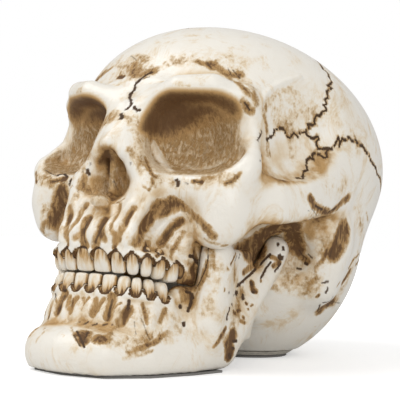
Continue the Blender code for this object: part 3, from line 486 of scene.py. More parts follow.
class Slab(Ball):
    """A box with its edges rounded by a share of its least half size."""

    def __init__(self, place, half, turn):
        super().__init__(place, half, turn)
        self.round = self.half.min() * SLAB_ROUND_SHARE
        self.span = np.linalg.norm(self.half)

    def height(self, points):
        past = np.abs((points - self.middle) @ self.turn) - self.half + self.round
        out = np.linalg.norm(np.maximum(past, 0), axis=1)
        return out + np.minimum(past.max(axis=1), 0) - self.round

    def block(self, mesh):
        pose = Matrix.Translation(self.middle) @ Matrix(self.turn).to_4x4()
        size = Matrix.Diagonal((*(self.half - self.round * SLAB_INSET_SHARE), 1))
        bmesh.ops.create_cube(mesh, size=2, matrix=pose @ size)


class Line:
    """A rounded line through several places, each with its own radius, stretched along the axes."""

    def __init__(self, places, radii, stretch):
        self.run([spot(place) for place in places], [radius * MM for radius in radii], stretch)

    def run(self, places, radii, stretch):
        self.places, self.radii, self.stretch = places, radii, np.array(stretch, float)
        self.middle = np.mean(places, axis=0)
        reach = max(np.linalg.norm(place - self.middle) for place in places)
        self.span = reach + max(radii) * self.stretch.max()

    def height(self, points):
        nearest = np.full(len(points), np.inf)
        for start, end, first, last in zip(self.places, self.places[1:], self.radii, self.radii[1:]):
            way = (end - start) / self.stretch
            local = (points - start) / self.stretch
            share = np.clip(local @ way / (way @ way), 0, 1)
            away = np.linalg.norm(local - share[:, None] * way, axis=1)
            nearest = np.minimum(nearest, away - first - share * (last - first))
        return nearest * self.stretch.min()

    def block(self, mesh):
        for start, end, first, last in zip(self.places, self.places[1:], self.radii, self.radii[1:]):
            stick = bmesh.new()
            for place, radius in ((start, first), (end, last)):
                size = Matrix.Diagonal((*(self.stretch * radius), 1))
                bmesh.ops.create_icosphere(
                    stick, subdivisions=BEAD_STEPS, radius=1, matrix=Matrix.Translation(place) @ size)
            bmesh.ops.delete(stick, geom=stick.edges[:] + stick.faces[:], context="EDGES_FACES")
            hull = bmesh.ops.convex_hull(stick, input=stick.verts[:])
            inner = [item for item in hull["geom_interior"] if isinstance(item, bmesh.types.BMVert)]
            bmesh.ops.delete(stick, geom=inner, context="VERTS")
            bmesh.ops.recalc_face_normals(stick, faces=stick.faces[:])
            shared = mesh_from("stick", stick)
            mesh.from_mesh(shared)
            bpy.data.meshes.remove(shared)


FORMS = {"ball": Ball, "slab": Slab, "line": Line}


def blend(low, other, soft):
    """The lower of two heights, rounded where they meet."""
    if not soft:
        return np.minimum(low, other)
    near = np.clip(1 - np.abs(low - other) / soft, 0, 1)
    return np.minimum(low, other) - near * near * soft / 4


class Clay:
    """A form of masses laid on and hollows pressed in, in order, alike on both sides of the middle plane."""

    def __init__(self, table, floor):
        self.floor = floor
        self.steps = [(work, FORMS[form](place, size, more), soft * MM)
                      for work, form, place, size, more, soft in table]
        self.details = []
        self.neighbour = None

    def height(self, points, plain=False, closed=()):
        """How far each point stands off the surface, negative inside; plain is without gum, closed names windows
        that are left out."""
        height = np.full(len(points), FAR)
        mirrored = one_side(points)
        for work, form, soft in self.steps:
            self.add(height, mirrored, work, form, soft)
        if plain:
            return height
        for work, form, soft in self.details:
            if form not in closed:
                self.add(height, points, work, form, soft)
        if self.neighbour:
            height = np.maximum(height, JAW_GAP - self.neighbour.height(points, plain=True))
        return np.maximum(height, self.floor - points[:, 2])

    @staticmethod
    def add(height, points, work, form, soft):
        near = np.linalg.norm(points - form.middle, axis=1) < form.span + soft + REACH
        if not near.any():
            return
        mine = form.height(points[near])
        if work == "lay":
            height[near] = blend(height[near], mine, soft)
        else:
            height[near] = -blend(-height[near], mine, soft)

    def slope(self, points, plain=False):
        """The way up from the surface at each point."""
        slope = np.empty_like(points)
        for axis in range(3):
            step = np.zeros(3)
            step[axis] = NUDGE
            rise = self.height(points + step, plain) - self.height(points - step, plain)
            slope[:, axis] = rise / (NUDGE + NUDGE)
        return slope

    def up(self, points):
        slope = self.slope(points)
        return slope / np.maximum(np.linalg.norm(slope, axis=1), LEAST_SLOPE_SHARE)[:, None]

    def seat(self, points, rounds, plain=False):
        """Points moved onto the surface, straight up or down its slope."""
        for _ in range(rounds):
            slope = self.slope(points, plain)
            steep = np.maximum((slope * slope).sum(axis=1), LEAST_SLOPE_SHARE ** 2)
            move = np.clip(self.height(points, plain) / steep, -FARTHEST_MOVE, FARTHEST_MOVE)
            points = points - slope * move[:, None]
        return points


def add_object(name, mesh):
    item = bpy.data.objects.new(name, mesh)
    bpy.context.scene.collection.objects.link(item)
    return item


def mesh_from(name, shape):
    mesh = bpy.data.meshes.new(name)
    shape.to_mesh(mesh)
    shape.free()
    return mesh


def bake(item):
    """Replaces an object's mesh by what its modifiers make of it."""
    graph = bpy.context.evaluated_depsgraph_get()
    mesh = bpy.data.meshes.new_from_object(item.evaluated_get(graph), depsgraph=graph)
    item.modifiers.clear()
    item.data = mesh
    return item


def remesh(item, size):
    modifier = item.modifiers.new("remesh", "REMESH")
    modifier.mode = "VOXEL"
    modifier.voxel_size = size
    return bake(item)


def points_of(mesh):
    points = np.empty(len(mesh.vertices) * 3, dtype=np.float32)
    mesh.vertices.foreach_get("co", points)
    return points.reshape(-1, 3).astype(float)


def put_points(mesh, points):
    mesh.vertices.foreach_set("co", points.astype(np.float32).ravel())
    mesh.update()


def round_off(item):
    """Shades an object's faces as one round surface."""
    for face in item.data.polygons:
        face.use_smooth = True
    return item


def put_values(mesh, name, values):
    """Keeps one number for each point of a mesh, for its material to read."""
    layer = mesh.attributes.new(name, "FLOAT", "POINT")
    layer.data.foreach_set("value", np.asarray(values, dtype=np.float32))


def blocks(name, forms, mirrored):
    """One object of the plain blocks of some masses, with their mirror images where asked."""
    shape = bmesh.new()
    for form in forms:
        form.block(shape)
    if not mirrored:
        return add_object(name, mesh_from(name, shape))
    other = bmesh.ops.duplicate(shape, geom=shape.verts[:] + shape.edges[:] + shape.faces[:])["geom"]
    points = [item for item in other if isinstance(item, bmesh.types.BMVert)]
    bmesh.ops.scale(shape, vec=(-1, 1, 1), verts=points)
    bmesh.ops.reverse_faces(shape, faces=[item for item in other if isinstance(item, bmesh.types.BMFace)])
    return add_object(name, mesh_from(name, shape))


def sculpt(name, clay):
    """A body of clay as a fine closed mesh: blocked out, cut and drawn onto its true surface."""
    body = None
    runs = []
    for work, form, mirrored in ([(work, form, True) for work, form, _ in clay.steps]
                                 + [(work, form, False) for work, form, _ in clay.details]):
        if not runs or runs[-1][0] != work or runs[-1][2] != mirrored:
            runs.append((work, [], mirrored))
        runs[-1][1].append(form)
    for number, (work, forms, mirrored) in enumerate(runs):
        stage = remesh(blocks(f"{name}_{work}_{number}", forms, mirrored), COARSE if mirrored else FINE)
        if body is None:
            body = stage
            continue
        cut = body.modifiers.new(work, "BOOLEAN")
        cut.operation = "UNION" if work == "lay" else "DIFFERENCE"
        cut.object = stage
        bake(body)
        bpy.data.objects.remove(stage)
    for rounds in (FIRST_SEATING, NEXT_SEATING):
        remesh(body, FINE)
        put_points(body.data, clay.seat(points_of(body.data), rounds))
    body.name = name
    return body


def arch():
    """The tooth row's front as a fine line, right to left, each point's distance from the middle and way in."""
    left = [spot((*place, 0))[:2] for place in ARCH_POINTS]
    ends = [place * (-1, 1) for place in left[:0:-1]] + left
    fine = []
    for before, start, end, after in zip(ends, ends[1:], ends[2:], ends[3:]):
        for step in range(ARCH_STEPS):
            share = step / ARCH_STEPS
            fine.append(0.5 * ((2 * start) + (end - before) * share
                               + (2 * before - 5 * start + 4 * end - after) * share ** 2
                               + (3 * start - before - 3 * end + after) * share ** 3))
    fine = np.array(fine)
    walked = np.concatenate(((0,), np.cumsum(np.linalg.norm(np.diff(fine, axis=0), axis=1))))
    middle = walked[np.argmin(np.abs(fine[:, 0]))]
    slope = np.gradient(fine, axis=0)
    inward = np.column_stack((-slope[:, 1], slope[:, 0])) / np.linalg.norm(slope, axis=1)[:, None]
    return fine, walked - middle, inward


ARCH_LINE, ARCH_WALK, ARCH_INWARD = arch()


def at_arch(where, values):
    return np.array([np.interp(where, ARCH_WALK, values[:, axis]) for axis in range(2)])


def bite(along):
    """The height of the bite at a place along the skull."""
    front = spot((0, ARCH_POINTS[0][1], 0))[1]
    return BITE_HEIGHT - (along - front) * math.tan(BITE_FALL)


class Berth:
    """The place of one tooth in a row, between two distances along the arch."""

    def __init__(self, upper, near, far, depth):
        first, last = (at_arch(where, ARCH_LINE) for where in (near, far))
        way = last - first
        heading = math.atan2(way[1], way[0])
        along = way / np.linalg.norm(way)
        back = np.array((-along[1], along[0]))
        normals = [at_arch(where, ARCH_INWARD) for where in (near, far)]
        self.leans = [normal @ along / (normal @ back) for normal in normals]
        if upper:
            self.leans = [-lean for lean in reversed(self.leans)]
        self.upper, self.near, self.far, self.depth = upper, near, far, depth
        self.width = np.linalg.norm(way) - TOOTH_GAP
        centre = (first + last + back * depth) / 2
        level = bite(centre[1]) + (BITE_GAP / 2 if upper else -BITE_GAP / 2)
        height = CROWN_HEIGHT + ROOT_HEIGHT
        self.pose = (Matrix.Translation((*centre, level + (height if upper else -height)))
                     @ Matrix.Rotation(heading, 4, "Z") @ Matrix.Rotation(math.pi if upper else 0, 4, "Y"))


def even_angles(count):
    return [math.tau * number / count for number in range(count)]


def rows():
    """Each tooth's name, form and berth."""
    berths = []
    for row, upper in (("upper", True), ("lower", False)):
        for side, way in (("left", 1), ("right", -1)):
            walked = 0 if upper else -LOWER_ROW_SHIFT
            for name, form, upper_width, lower_width, depth in TEETH:
                width = upper_width if upper else lower_width
                berth = Berth(upper, *sorted((walked, walked + way * width)), depth)
                walked += way * width
                berths.append((f"{row}_{name}_{side}", form, berth))
    return berths


def crown(name, form, berth):
    """A finely modelled tooth in its berth, with values for how near its neck and its sides each point is."""
    shape = bmesh.new()
    height = CROWN_HEIGHT + ROOT_HEIGHT
    bmesh.ops.create_circle(shape, cap_ends=True, segments=TOOTH_SIDES, radius=1)
    cap = shape.faces[:]
    for number, (up, across, along) in enumerate(TOOTH_LEVEL_SHARES[form]):
        if number:
            made = bmesh.ops.extrude_face_region(shape, geom=cap)["geom"]
            if number > 1:
                bmesh.ops.delete(shape, geom=cap, context="FACES_ONLY")
            cap = [item for item in made if isinstance(item, bmesh.types.BMFace)]
        for corner, angle in zip(cap[0].verts, even_angles(TOOTH_SIDES)):
            side = math.copysign(abs(math.cos(angle)) ** TOOTH_SQUARE_SHARE, math.cos(angle))
            back = math.copysign(abs(math.sin(angle)) ** TOOTH_SQUARE_SHARE, math.sin(angle))
            back *= along * berth.depth / 2
            inner = back + berth.depth / 2
            low = berth.leans[0] * inner - berth.width / 2
            high = berth.leans[1] * inner + berth.width / 2
            corner.co = ((low + high) / 2 + side * across * (high - low) / 2, back, up * height)
    bmesh.ops.recalc_face_normals(shape, faces=shape.faces[:])
    item = add_object(name, mesh_from(name, shape))
    soften = item.modifiers.new("soften", "SUBSURF")
    soften.levels = soften.render_levels = TOOTH_SOFTENING
    bake(item)
    points = points_of(item.data)
    up = points[:, 2] / height
    side = np.abs(points[:, 0]) / (berth.width / 2)
    ripple = RIPPLE_DEPTH * np.sin(points[:, 0] / berth.width * math.tau * RIPPLE_WAVES)
    points[:, 1] += ripple * (points[:, 1] < 0) * np.clip(2 - 2 * np.abs(up - RIPPLE_MIDDLE) / RIPPLE_REACH, 0, 1)
    put_values(item.data, "up", up)
    put_values(item.data, "side", side)
    put_points(item.data, points)
    item.data.transform(berth.pose)
    return round_off(item)


class Stroke(Line):
    """A rounded line through places in metres."""

    def __init__(self, places, radii):
        self.run([np.array(place) for place in places], radii, (1, 1, 1))


class Mark(Stroke):
    """A painted and carved line on a casting."""

    def __init__(self, paint, strength, half_width, depth, mirrored, places):
        super().__init__(places, [half_width] * len(places))
        self.paint, self.strength, self.half_width, self.depth, self.mirrored = (
            paint, strength, half_width, depth, mirrored)
        self.fade = INK_FADE if paint == "ink" else half_width * BROWN_FADE_SHARE
        self.core = half_width if paint == "brown" else 0
        self.reach = self.core + self.fade

    def near(self, points):
        """Which points lie near the line, and how far each of them stands off its edge."""
        if self.mirrored:
            points = one_side(points, -1 if self.middle[0] < 0 else 1)
        near = np.linalg.norm(points - self.middle, axis=1) < self.span + self.fade + REACH
        return near, self.height(points[near])


def camera_turn():
    way = Vector(spot(AIM_SHARES)) - Vector(spot(CAMERA_SHARES))
    return way.to_track_quat("-Z", "Y").to_matrix() @ Matrix.Rotation(CAMERA_ROLL, 3, "Z")


def seen(clay, pixels):
    """The places on a casting that show at places of the photograph."""
    pixels = np.array(pixels, float)
    film = FILM_WIDTH / CAMERA_LENS / PHOTO_SIDE
    across, up = (pixels[:, 0] - PHOTO_SIDE / 2) * film, (PHOTO_SIDE / 2 - pixels[:, 1]) * film
    ways = np.column_stack((across, up, -np.ones(len(pixels)))) @ np.array(camera_turn()).T
    ways /= np.linalg.norm(ways, axis=1)[:, None]
    points = spot(CAMERA_SHARES) + ways * LOOK_FROM
    nearest, least = points.copy(), np.full(len(points), FAR)
    for _ in range(LOOK_ROUNDS):
        height = clay.height(points)
        closer = height < least
        nearest[closer], least[closer] = points[closer], height[closer]
        points = points + ways * np.clip(height, 0, LOOK_STEP)[:, None]
    return clay.seat(nearest, NEXT_SEATING)


def marks_on(clay, table):
    """The marks of a table, cast onto a casting from the camera."""
    rows = [(paint, mirrored, *row) for paint, mirrored, group in table for row in group]
    places = seen(clay, [pixel for row in rows for pixel in row[-1]])
    marks = []
    start = 0
    for paint, mirrored, strength, half_width, depth, line in rows:
        end = start + len(line)
        half_width *= MM * (INK_SHARE if paint == "ink" else 1)
        marks.append(Mark(paint, strength, half_width, depth * MM, mirrored, places[start:end]))
        start = end
    return marks


def seam(clay, places, mirrored):
    """A winding seam over the vault, near some coarse places in metres."""
    fine = []
    walked = 0
    for start, end in zip(places, places[1:]):
        count = max(int(np.linalg.norm(end - start) / SEAM_STEP), 1)
        sideways = np.cross(end - start, (start + end) / 2 - spot(VAULT_MIDDLE))
        sideways /= np.linalg.norm(sideways)
        for step in range(count):
            sway = sum(share * math.sin(walked * pace + shift) for pace, shift, share in SEAM_WAVES)
            fine.append(start + (end - start) * step / count + sideways * sway * SEAM_SWAY)
            walked += 1
    places = clay.seat(np.array(fine), FIRST_SEATING, plain=True)
    return Mark("ink", SEAM_STRENGTH, SEAM_HALF_WIDTH, SEAM_DEPTH, mirrored, places)


def gum_details(berths, upper):
    """Gum along the necks of the teeth, opened before each crown in a pointed or round arch."""
    way = 1 if upper else -1
    row = [berth for _, _, berth in berths if berth.upper == upper]
    ends = sorted({berth.near for berth in row} | {berth.far for berth in row})
    band = []
    for where in np.linspace(ends[0], ends[-1], GUM_STEPS):
        place = at_arch(where, ARCH_LINE) + at_arch(where, ARCH_INWARD) * GUM_SET_BACK
        band.append((*place, bite(place[1]) + way * GUM_HEIGHT))
    details = [("lay", Stroke(band, [GUM_RADIUS] * len(band)), GUM_SOFT)]
    for side in (1, -1):
        block = [spot(place) * (side, 1, 1) for place in (UPPER_BLOCK if upper else LOWER_BLOCK)]
        details.append(("lay", Stroke(block, [BLOCK_RADIUS] * len(block)), BLOCK_SOFT))
    windows = []
    for berth in row:
        middle = (berth.near + berth.far) / 2
        out = at_arch(middle, ARCH_LINE) - at_arch(middle, ARCH_INWARD) * WINDOW_OUT
        half = abs(berth.far - berth.near) / 2
        level = bite(out[1]) + way * BITE_GAP / 2
        tip, shown = (TIP_UPPER, CROWN_SHOWN) if upper else (half * TIP_LOWER_SHARE, LOWER_SHOWN)
        places = [(*out, level + way * up) for up in (0, NECK_FROM, shown - tip)]
        windows.append(Stroke(places, (half, half, tip)))
        details.append(("press", windows[-1], WINDOW_SOFT))
    return details, windows


def smooth(values):
    values = np.clip(values, 0, 1)
    return values * values * (3 - 2 * values)


def painted(points, marks, paint):
    """How strongly one paint lies on each point, from 0 to 1."""
    strength = np.zeros(len(points))
    for mark in marks:
        if mark.paint == paint:
            near, away = mark.near(points)
            cover = mark.strength * smooth(1 - (away + mark.core) / mark.reach)
            strength[near] = np.maximum(strength[near], cover)
    return strength


def engraved(points, marks):
    """How deep the marks are carved at each point, negative on a ridge."""
    low, high = np.zeros(len(points)), np.zeros(len(points))
    for mark in marks:
        if mark.depth:
            near, away = mark.near(points)
            depth = mark.depth * smooth(0.5 - away / (mark.half_width + mark.half_width))
            low[near], high[near] = np.maximum(low[near], depth), np.minimum(high[near], depth)
    return low + high


def hollowness(points):
    """How far inside the painted hollows each point lies, from 0 to 1."""
    mirrored = one_side(points)
    most = np.zeros(len(points))
    for form, place, half, turn, strength in PAINTED_HOLLOWS:
        height = FORMS[form](place, half, turn).height(mirrored)
        fade = HOLLOW_EDGE + roof(points) * ROOF_EDGE
        most = np.maximum(most, strength * smooth(HOLLOW_FILL - height / fade))
    return most


def roof(points):
    """How far up under the brows each point lies, from 0 to 1, which sets where shade is painted in the eye
    sockets.
    """
    lean = np.maximum(ROOF_SIDE - np.abs(points[:, 0]), 0) * ROOF_LEAN
    return smooth((points[:, 2] + lean - ROOF_FROM) / ROOF_DEPTH) * (np.abs(points[:, 0]) > NUDGE)


def occlusion(clay, points, reaches):
    """How much of the room over each point is filled, from 0 in the open to 1 in a deep hollow."""
    up = clay.up(points)
    shut = np.zeros(len(points))
    for reach in reaches:
        shut += np.clip(1 - clay.height(points + up * reach) / reach, 0, 1) / len(reaches)
    return shut


def refine(item, marks, windows):
    """Splits a casting's edges where marks and gum need a finer mesh."""
    for _ in range(REFINE_ROUNDS):
        points = points_of(item.data)
        wanted = np.full(len(points), FAR)
        for mark in marks:
            if mark.paint == "ink" or mark.depth:
                near, away = mark.near(points)
                size = CRISP if mark.half_width < CLEAR else CLEAR
                wanted[near] = np.where(away < mark.fade + size, np.minimum(wanted[near], size), wanted[near])
        for window in windows:
            wanted[np.abs(window.height(points)) < WINDOW_BAND] = CRISP
        shape = bmesh.new()
        shape.from_mesh(item.data)
        long = [edge for edge in shape.edges
                if edge.calc_length() > LONG_EDGE_SHARE * max(wanted[vertex.index] for vertex in edge.verts)]
        bmesh.ops.subdivide_edges(shape, edges=long, cuts=1, use_grid_fill=True)
        bmesh.ops.triangulate(shape, faces=[face for face in shape.faces if len(face.verts) > 4])
        shape.to_mesh(item.data)
        shape.free()


# Casting the bone
berths = rows()
jaw_clay = Clay(JAW_CLAY, FLOORS["mandible"])
cranium_clay = Clay(CRANIUM_CLAY, FLOORS["cranium"])
cranium_clay.neighbour = jaw_clay
cranium_clay.details, upper_windows = gum_details(berths, True)
jaw_clay.details, lower_windows = gum_details(berths, False)
cranium_marks, jaw_marks = marks_on(cranium_clay, CRANIUM_MARKS), marks_on(jaw_clay, JAW_MARKS)
coronal_end, sagittal_end = cranium_marks[0].places[0], spot(SAGITTAL_LINE[0])
between = coronal_end * (0.5, 1, 1) + (0, 0, VAULT_RISE)
cranium_marks.append(seam(cranium_clay, (coronal_end, between, sagittal_end), True))
cranium_marks.append(seam(cranium_clay, [spot(place) for place in SAGITTAL_LINE], False))
cranium_marks.append(seam(cranium_clay, [spot(place) for place in LAMBDOID_LINE], True))

for name, clay, node, marks, windows in (
        ("cranium_bone", cranium_clay, "cranium", cranium_marks, upper_windows),
        ("mandible_bone", jaw_clay, "mandible", jaw_marks, lower_windows)):
    piece = sculpt(name, clay)
    refine(piece, marks, windows)
    points = clay.seat(points_of(piece.data), 1)
    outline = np.zeros(len(points))
    for window in windows:
        outline = np.maximum(outline, smooth(1 - np.abs(window.height(points)) / OUTLINE))
    rim = outline * smooth(1 + clay.height(points, closed=windows) / RIM_DEPTH)
    put_values(piece.data, "deep", occlusion(clay, points, DEEP_REACHES))
    put_values(piece.data, "crevice", occlusion(clay, points, CREVICE_REACHES))
    put_values(piece.data, "ink", np.maximum(painted(points, marks, "ink"), rim * RIM_STRENGTH))
    put_values(piece.data, "brown", np.maximum(painted(points, marks, "brown"), outline))
    put_values(piece.data, "bare", painted(points, marks, "bare"))
    put_values(piece.data, "hollow", hollowness(points) if node == "cranium" else np.zeros(len(points)))
    put_values(piece.data, "roof", roof(points))
    put_points(piece.data, points - clay.up(points) * engraved(points, marks)[:, None])
    round_off(piece)
    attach(piece, "root")
    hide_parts(node)


# Shader building
class Value:
    """A number that changes over a surface, worked with as in a sum."""

    def __init__(self, board, socket):
        self.board, self.socket = board, socket

    def joined(self, operation, other, swapped=False):
        pair = (other, self) if swapped else (self, other)
        return self.board.node("ShaderNodeMath", {"operation": operation}, {0: pair[0], 1: pair[1]})

    def __add__(self, other):
        return self.joined("ADD", other)

    def __radd__(self, other):
        return self.joined("ADD", other, True)

    def __sub__(self, other):
        return self.joined("SUBTRACT", other)

    def __rsub__(self, other):
        return self.joined("SUBTRACT", other, True)

    def __mul__(self, other):
        return self.joined("MULTIPLY", other)

    def __rmul__(self, other):
        return self.joined("MULTIPLY", other, True)

    def top(self, other):
        return self.joined("MAXIMUM", other)

    def ramp(self, start, end):
        """0 up to a start and 1 from an end, smooth between them."""
        return self.board.node("ShaderNodeMapRange", {"interpolation_type": "SMOOTHSTEP"},
                               {"Value": self, "From Min": start, "From Max": end})


class Board:
    """The nodes of one material, or of the world."""

    def __init__(self, owner, shader="Principled BSDF"):
        owner.use_nodes = True
        self.owner, self.tree = owner, owner.node_tree
        self.shader = self.tree.nodes[shader]

    def node(self, kind, settings=None, values=None, out=0):
        made = self.tree.nodes.new(kind)
        for key, value in (settings or {}).items():
            setattr(made, key, value)
        self.fill(made, values or {})
        return Value(self, made.outputs[out])

    def fill(self, made, values):
        for key, value in values.items():
            if isinstance(value, Value):
                self.tree.links.new(value.socket, made.inputs[key])
            else:
                made.inputs[key].default_value = value

    def place(self):
        return self.node("ShaderNodeTexCoord", out=3)

    def stored(self, name):
        return self.node("ShaderNodeAttribute", {"attribute_name": name}, out=2)

    def noise(self, scale, detail, roughness=0.55, stretch=None, distortion=0.0):
        place = self.place()
        if stretch:
            place = self.node("ShaderNodeMapping", {}, {"Vector": place, "Scale": stretch})
        return self.node("ShaderNodeTexNoise", {}, {"Vector": place, "Scale": scale, "Detail": detail,
                                                    "Roughness": roughness, "Distortion": distortion})

    def mix(self, share, first, second):
        """One colour laid over another by a share."""
        first, second = (value if isinstance(value, Value) else (*value, 1) for value in (first, second))
        return self.node("ShaderNodeMix", {"data_type": "RGBA"}, {0: share, 6: first, 7: second}, out=2)

    def bump(self, height, distance):
        return self.node("ShaderNodeBump", {}, {"Height": height, "Distance": distance, "Strength": 1})

    def finish(self, values):
        """The owner, once its shader has these numbers, colours and links."""
        self.fill(self.shader, values)
        return self.owner


# Paint: colours, and from which shade each one shows to which it covers on bone and on teeth
IVORY = (0.82, 0.78, 0.70)
CREAM = (0.72, 0.59, 0.41)
OCHRE = (0.50, 0.30, 0.115)
UMBER = (0.125, 0.058, 0.016)
SOOT = (0.07, 0.034, 0.012)
BONE_SHADES = {"cream": (0.02, 0.3), "ochre": (0.18, 0.58), "umber": (0.55, 1.1), "soot": (0.15, 0.75)}
TOOTH_SHADES = {"cream": (0.05, 0.45), "ochre": (0.3, 0.8), "umber": (0.7, 1.1), "soot": (0.2, 0.8)}
# Grains of the paint in waves to a metre, and how some are stretched
BROAD_GRAIN, MIDDLE_GRAIN, FINE_GRAIN, FIBRE_GRAIN = 22, 90, 420, 330
SCRATCH_GRAIN, SCUFF_GRAIN, STREAK_GRAIN = 820, 48, 520
FIBRE_STRETCH, SCRATCH_STRETCH = (1, 1, 0.3), (1, 0.6, 0.4)
SCUFF_STRETCH, STREAK_STRETCH = (1, 1, 0.6), (1, 1, 0.16)
# Strengths of the washes and of the painted shade on bone
DEEP_WASH, CREVICE_WASH, BARE_CLEARS, BARE_LIGHTENS = 0.42, 0.5, 0.8, 0.5
SOCKET_WASH_AND_SHADE, SOCKET_SCRATCHES, ROOF_CLEARS, ROOF_SHADE = 0.34, 0.42, 0.7, 0.62
SCUFF_WASH, PATINA_WASH, PATINA_SPOTS = 0.24, 0.05, 0.12
# Lacquer and relief of bone and teeth
BONE_COAT_ROUGHNESS, TOOTH_COAT_ROUGHNESS = 0.2, 0.15
BONE_ROUGHNESS, BONE_ROUGHER, BONE_COAT, BONE_RELIEF = 0.36, 0.4, 0.3, 0.3 * MM
TOOTH_ROUGHNESS, TOOTH_ROUGHER, TOOTH_COAT, TOOTH_RELIEF = 0.3, 0.3, 0.35, 0.2 * MM


def layers(board, shades, shade, broken_shade, line):
    """Ivory under cream, ochre and umber by the shade, and under soot by the dark lines."""
    colour = board.mix(shade.ramp(*shades["cream"]), IVORY, CREAM)
    colour = board.mix(shade.ramp(*shades["ochre"]), colour, OCHRE)
    colour = board.mix(broken_shade.ramp(*shades["umber"]), colour, UMBER)
    return board.mix(line.ramp(*shades["soot"]), colour, SOOT)


def bone_material(name):
    """Ivory paint with a brown wash in the hollows and dark lines, under satin lacquer."""
    board = Board(bpy.data.materials.new(name))
    broad = board.noise(BROAD_GRAIN, 3)
    middle = board.noise(MIDDLE_GRAIN, 5, 0.6)
    fine = board.noise(FINE_GRAIN, 4, 0.65)
    fibres = board.noise(FIBRE_GRAIN, 5, 0.7, FIBRE_STRETCH, 0.6)
    scratches = board.noise(SCRATCH_GRAIN, 6, 0.7, SCRATCH_STRETCH, 0.8)
    scuffs = board.noise(SCUFF_GRAIN, 7, 0.72, SCUFF_STRETCH, 1.8)
    deep, crevice, hollow, roof = (board.stored(word) for word in ("deep", "crevice", "hollow", "roof"))
    ink, brown, bare = (board.stored(word) for word in ("ink", "brown", "bare"))
    wash = deep.ramp(0.05, 0.6) * DEEP_WASH + crevice.ramp(0.04, 0.6) * CREVICE_WASH
    wash = wash * (0.2 + middle.ramp(0.3, 0.7) * 0.9) * (1 - bare * BARE_CLEARS)
    # Brown paint inside the hollows; in the hollow under the cheek arch it is painted shade
    socket = hollow * (SOCKET_WASH_AND_SHADE + scratches.ramp(0.36, 0.72) * SOCKET_SCRATCHES * (1 - roof * ROOF_CLEARS))
    # Painted shade under the brows darkens the roofs of the eye sockets
    socket = (socket + hollow * roof * ROOF_SHADE) * (1 - bare * BARE_CLEARS)
    # Brown marks: stains, and in some places painted shade
    edge = brown + (middle * 0.7 + fine * 0.6 - 0.65) * brown.ramp(0.02, 0.3)
    brown_cover = edge.ramp(0.04, 0.85) * (0.62 + fibres.ramp(0.3, 0.7) * 0.7) * (1 - bare * BARE_LIGHTENS)
    patina = broad.ramp(0.35, 0.7) * (PATINA_WASH + middle.ramp(0.35, 0.7) * PATINA_SPOTS)
    shade = (wash + scuffs.ramp(0.48, 0.7) * SCUFF_WASH + patina).top(socket).top(brown_cover)
    colour = layers(board, BONE_SHADES, shade, shade + fine * 0.15, ink * (0.7 + fine * 0.6))
    bumps = board.bump(fine + middle * 0.6 + fibres * shade.ramp(0.2, 0.7) * 3, BONE_RELIEF)
    return board.finish({
        "Coat Roughness": BONE_COAT_ROUGHNESS, "IOR": 1.5, "Base Color": colour,
        "Roughness": BONE_ROUGHNESS + shade.top(ink).ramp(0.1, 0.7) * BONE_ROUGHER,
        "Coat Weight": BONE_COAT - shade.top(ink).ramp(0.1, 0.5) * BONE_COAT, "Normal": bumps})


def tooth_material(name, brown_cover):
    """Ivory crowns with brown streaks towards the neck and dark lines where they meet gum and each other."""
    board = Board(bpy.data.materials.new(name))
    streaks = board.noise(STREAK_GRAIN, 4, 0.6, STREAK_STRETCH)
    fine = board.noise(FINE_GRAIN, 3, 0.6)
    up, side, gum = (board.stored(word) for word in ("up", "side", "gum"))
    wash = (1 - up.ramp(0.35, 0.85)) * (0.35 + brown_cover) + side.ramp(0.7, 1.0) * 0.8 + 0.12 + brown_cover * 0.3
    wash = wash * (0.35 + streaks.ramp(0.3, 0.75) * 1.1)
    line = gum.top(side.ramp(0.93, 1.02) * 0.8)
    colour = layers(board, TOOTH_SHADES, wash, wash, line * (0.75 + fine * 0.5))
    return board.finish({
        "Coat Roughness": TOOTH_COAT_ROUGHNESS, "Base Color": colour,
        "Roughness": TOOTH_ROUGHNESS + wash.ramp(0.1, 0.8) * TOOTH_ROUGHER,
        "Coat Weight": TOOTH_COAT - wash.top(line).ramp(0.1, 0.6) * TOOTH_COAT,
        "Normal": board.bump(fine + streaks, TOOTH_RELIEF)})


def plain_material(name, colour, roughness, metallic, grain, depth):
    board = Board(bpy.data.materials.new(name))
    pattern = board.noise(grain, 4, 0.6)
    shade = board.mix(pattern.ramp(0.3, 0.7), [part * 0.8 for part in colour], colour)
    return board.finish({
        "Metallic": metallic, "Base Color": shade, "Roughness": roughness + pattern * 0.1,
        "Normal": board.bump(pattern, depth)})


for name in ("cranium", "mandible"):
    bpy.data.objects[f"{name}_bone"].data.materials.append(bone_material(f"{name}_paint"))
enamels = {row: tooth_material(f"{row}_teeth_paint", brown_cover) for row, brown_cover in TOOTH_STAINS.items()}
for name, form, berth in berths:
    piece = crown(f"{name}_crown", form, berth)
    row, clay = ("upper", cranium_clay) if berth.upper else ("lower", jaw_clay)
    put_values(piece.data, "gum", smooth(CROWN_LINE_SHARE - clay.height(points_of(piece.data)) / OUTLINE))
    piece.data.materials.append(enamels[row])
    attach(piece, "root")
    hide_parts(name)

# Plain pieces: nodes, colour, roughness, metal, grain and its depth
PLAIN_FINISHES = (
    (("jaw_dowel_left", "jaw_dowel_right"), (0.62, 0.62, 0.64), 0.3, 1.0, 900, 0.02 * MM),
    (("foot_plate",), (0.62, 0.58, 0.50), 0.5, 0.0, 500, 0.1 * MM),
    (("base_pad_front", "base_pad_rear"), (0.24, 0.23, 0.215), 0.9, 0.0, 1800, 0.1 * MM),
)
for names, *finish in PLAIN_FINISHES:
    for name in names:
        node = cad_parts[name]
        node.data.materials.clear()
        node.data.materials.append(plain_material(f"{name}_finish", *finish))


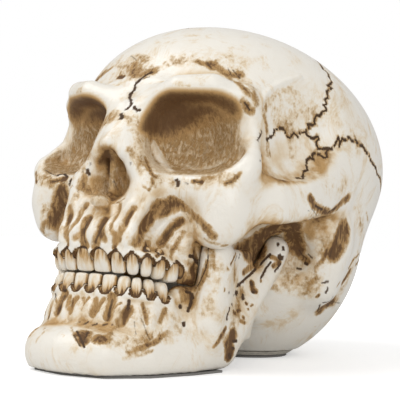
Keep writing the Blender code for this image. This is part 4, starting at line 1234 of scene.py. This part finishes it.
# Studio
FLOOR_SIZE = 6.0
KEY_PLACE, KEY_SIZE, KEY_POWER = (-0.55, -0.7, 1.25), 1.0, 9.0
FILL_PLACE, FILL_SIZE, FILL_POWER = (0.9, -0.7, 0.5), 0.9, 4.2
LAMP_AIM = (0, 0, 0.08)
WORLD_LIGHT = 0.62
PAPER = (0.8, 0.8, 0.8, 1)
FLOOR_GLOW = (0.42, 1.0)
FLOOR_GLOW_FROM, FLOOR_GLOW_TO = 0.16, 0.45
NEAREST_SEEN = 0.02


def lamp(name, place, size, power):
    light = bpy.data.lights.new(name, "AREA")
    light.energy, light.size = power, size
    item = add_object(name, light)
    item.location = place
    item.rotation_euler = (Vector(LAMP_AIM) - item.location).to_track_quat("-Z", "Y").to_euler()


def studio():
    shape = bmesh.new()
    bmesh.ops.create_grid(shape, x_segments=1, y_segments=1, size=FLOOR_SIZE / 2)
    floor = add_object("floor", mesh_from("floor", shape))
    board = Board(bpy.data.materials.new("floor_paper"))
    away = board.node("ShaderNodeVectorMath", {"operation": "LENGTH"}, {0: board.place()}, out=1)
    glow = FLOOR_GLOW[0] + away.ramp(FLOOR_GLOW_FROM, FLOOR_GLOW_TO) * (FLOOR_GLOW[1] - FLOOR_GLOW[0])
    glow = glow * board.node("ShaderNodeLightPath")
    floor.data.materials.append(board.finish({
        "Base Color": PAPER, "Roughness": 0.9, "Specular IOR Level": 0, "Emission Strength": 1,
        "Emission Color": board.mix(glow, (0, 0, 0), (1, 1, 1))}))
    lamp("key", KEY_PLACE, KEY_SIZE, KEY_POWER)
    lamp("fill", FILL_PLACE, FILL_SIZE, FILL_POWER)
    sky = Board(bpy.data.worlds.new("studio"), "Background")
    camera_ray = sky.node("ShaderNodeLightPath")
    level = sky.node("ShaderNodeMapRange", {}, {"Value": camera_ray, "To Min": WORLD_LIGHT, "To Max": 1})
    bpy.context.scene.world = sky.finish({"Color": (1, 1, 1, 1), "Strength": level})
    camera = bpy.data.cameras.new("camera")
    camera.lens = CAMERA_LENS
    camera.sensor_width = FILM_WIDTH
    camera.clip_start = NEAREST_SEEN
    item = add_object("camera", camera)
    item.location = spot(CAMERA_SHARES)
    item.rotation_euler = camera_turn().to_euler()
    bpy.context.scene.camera = item
    bpy.context.scene.view_settings.view_transform = "Standard"


studio()
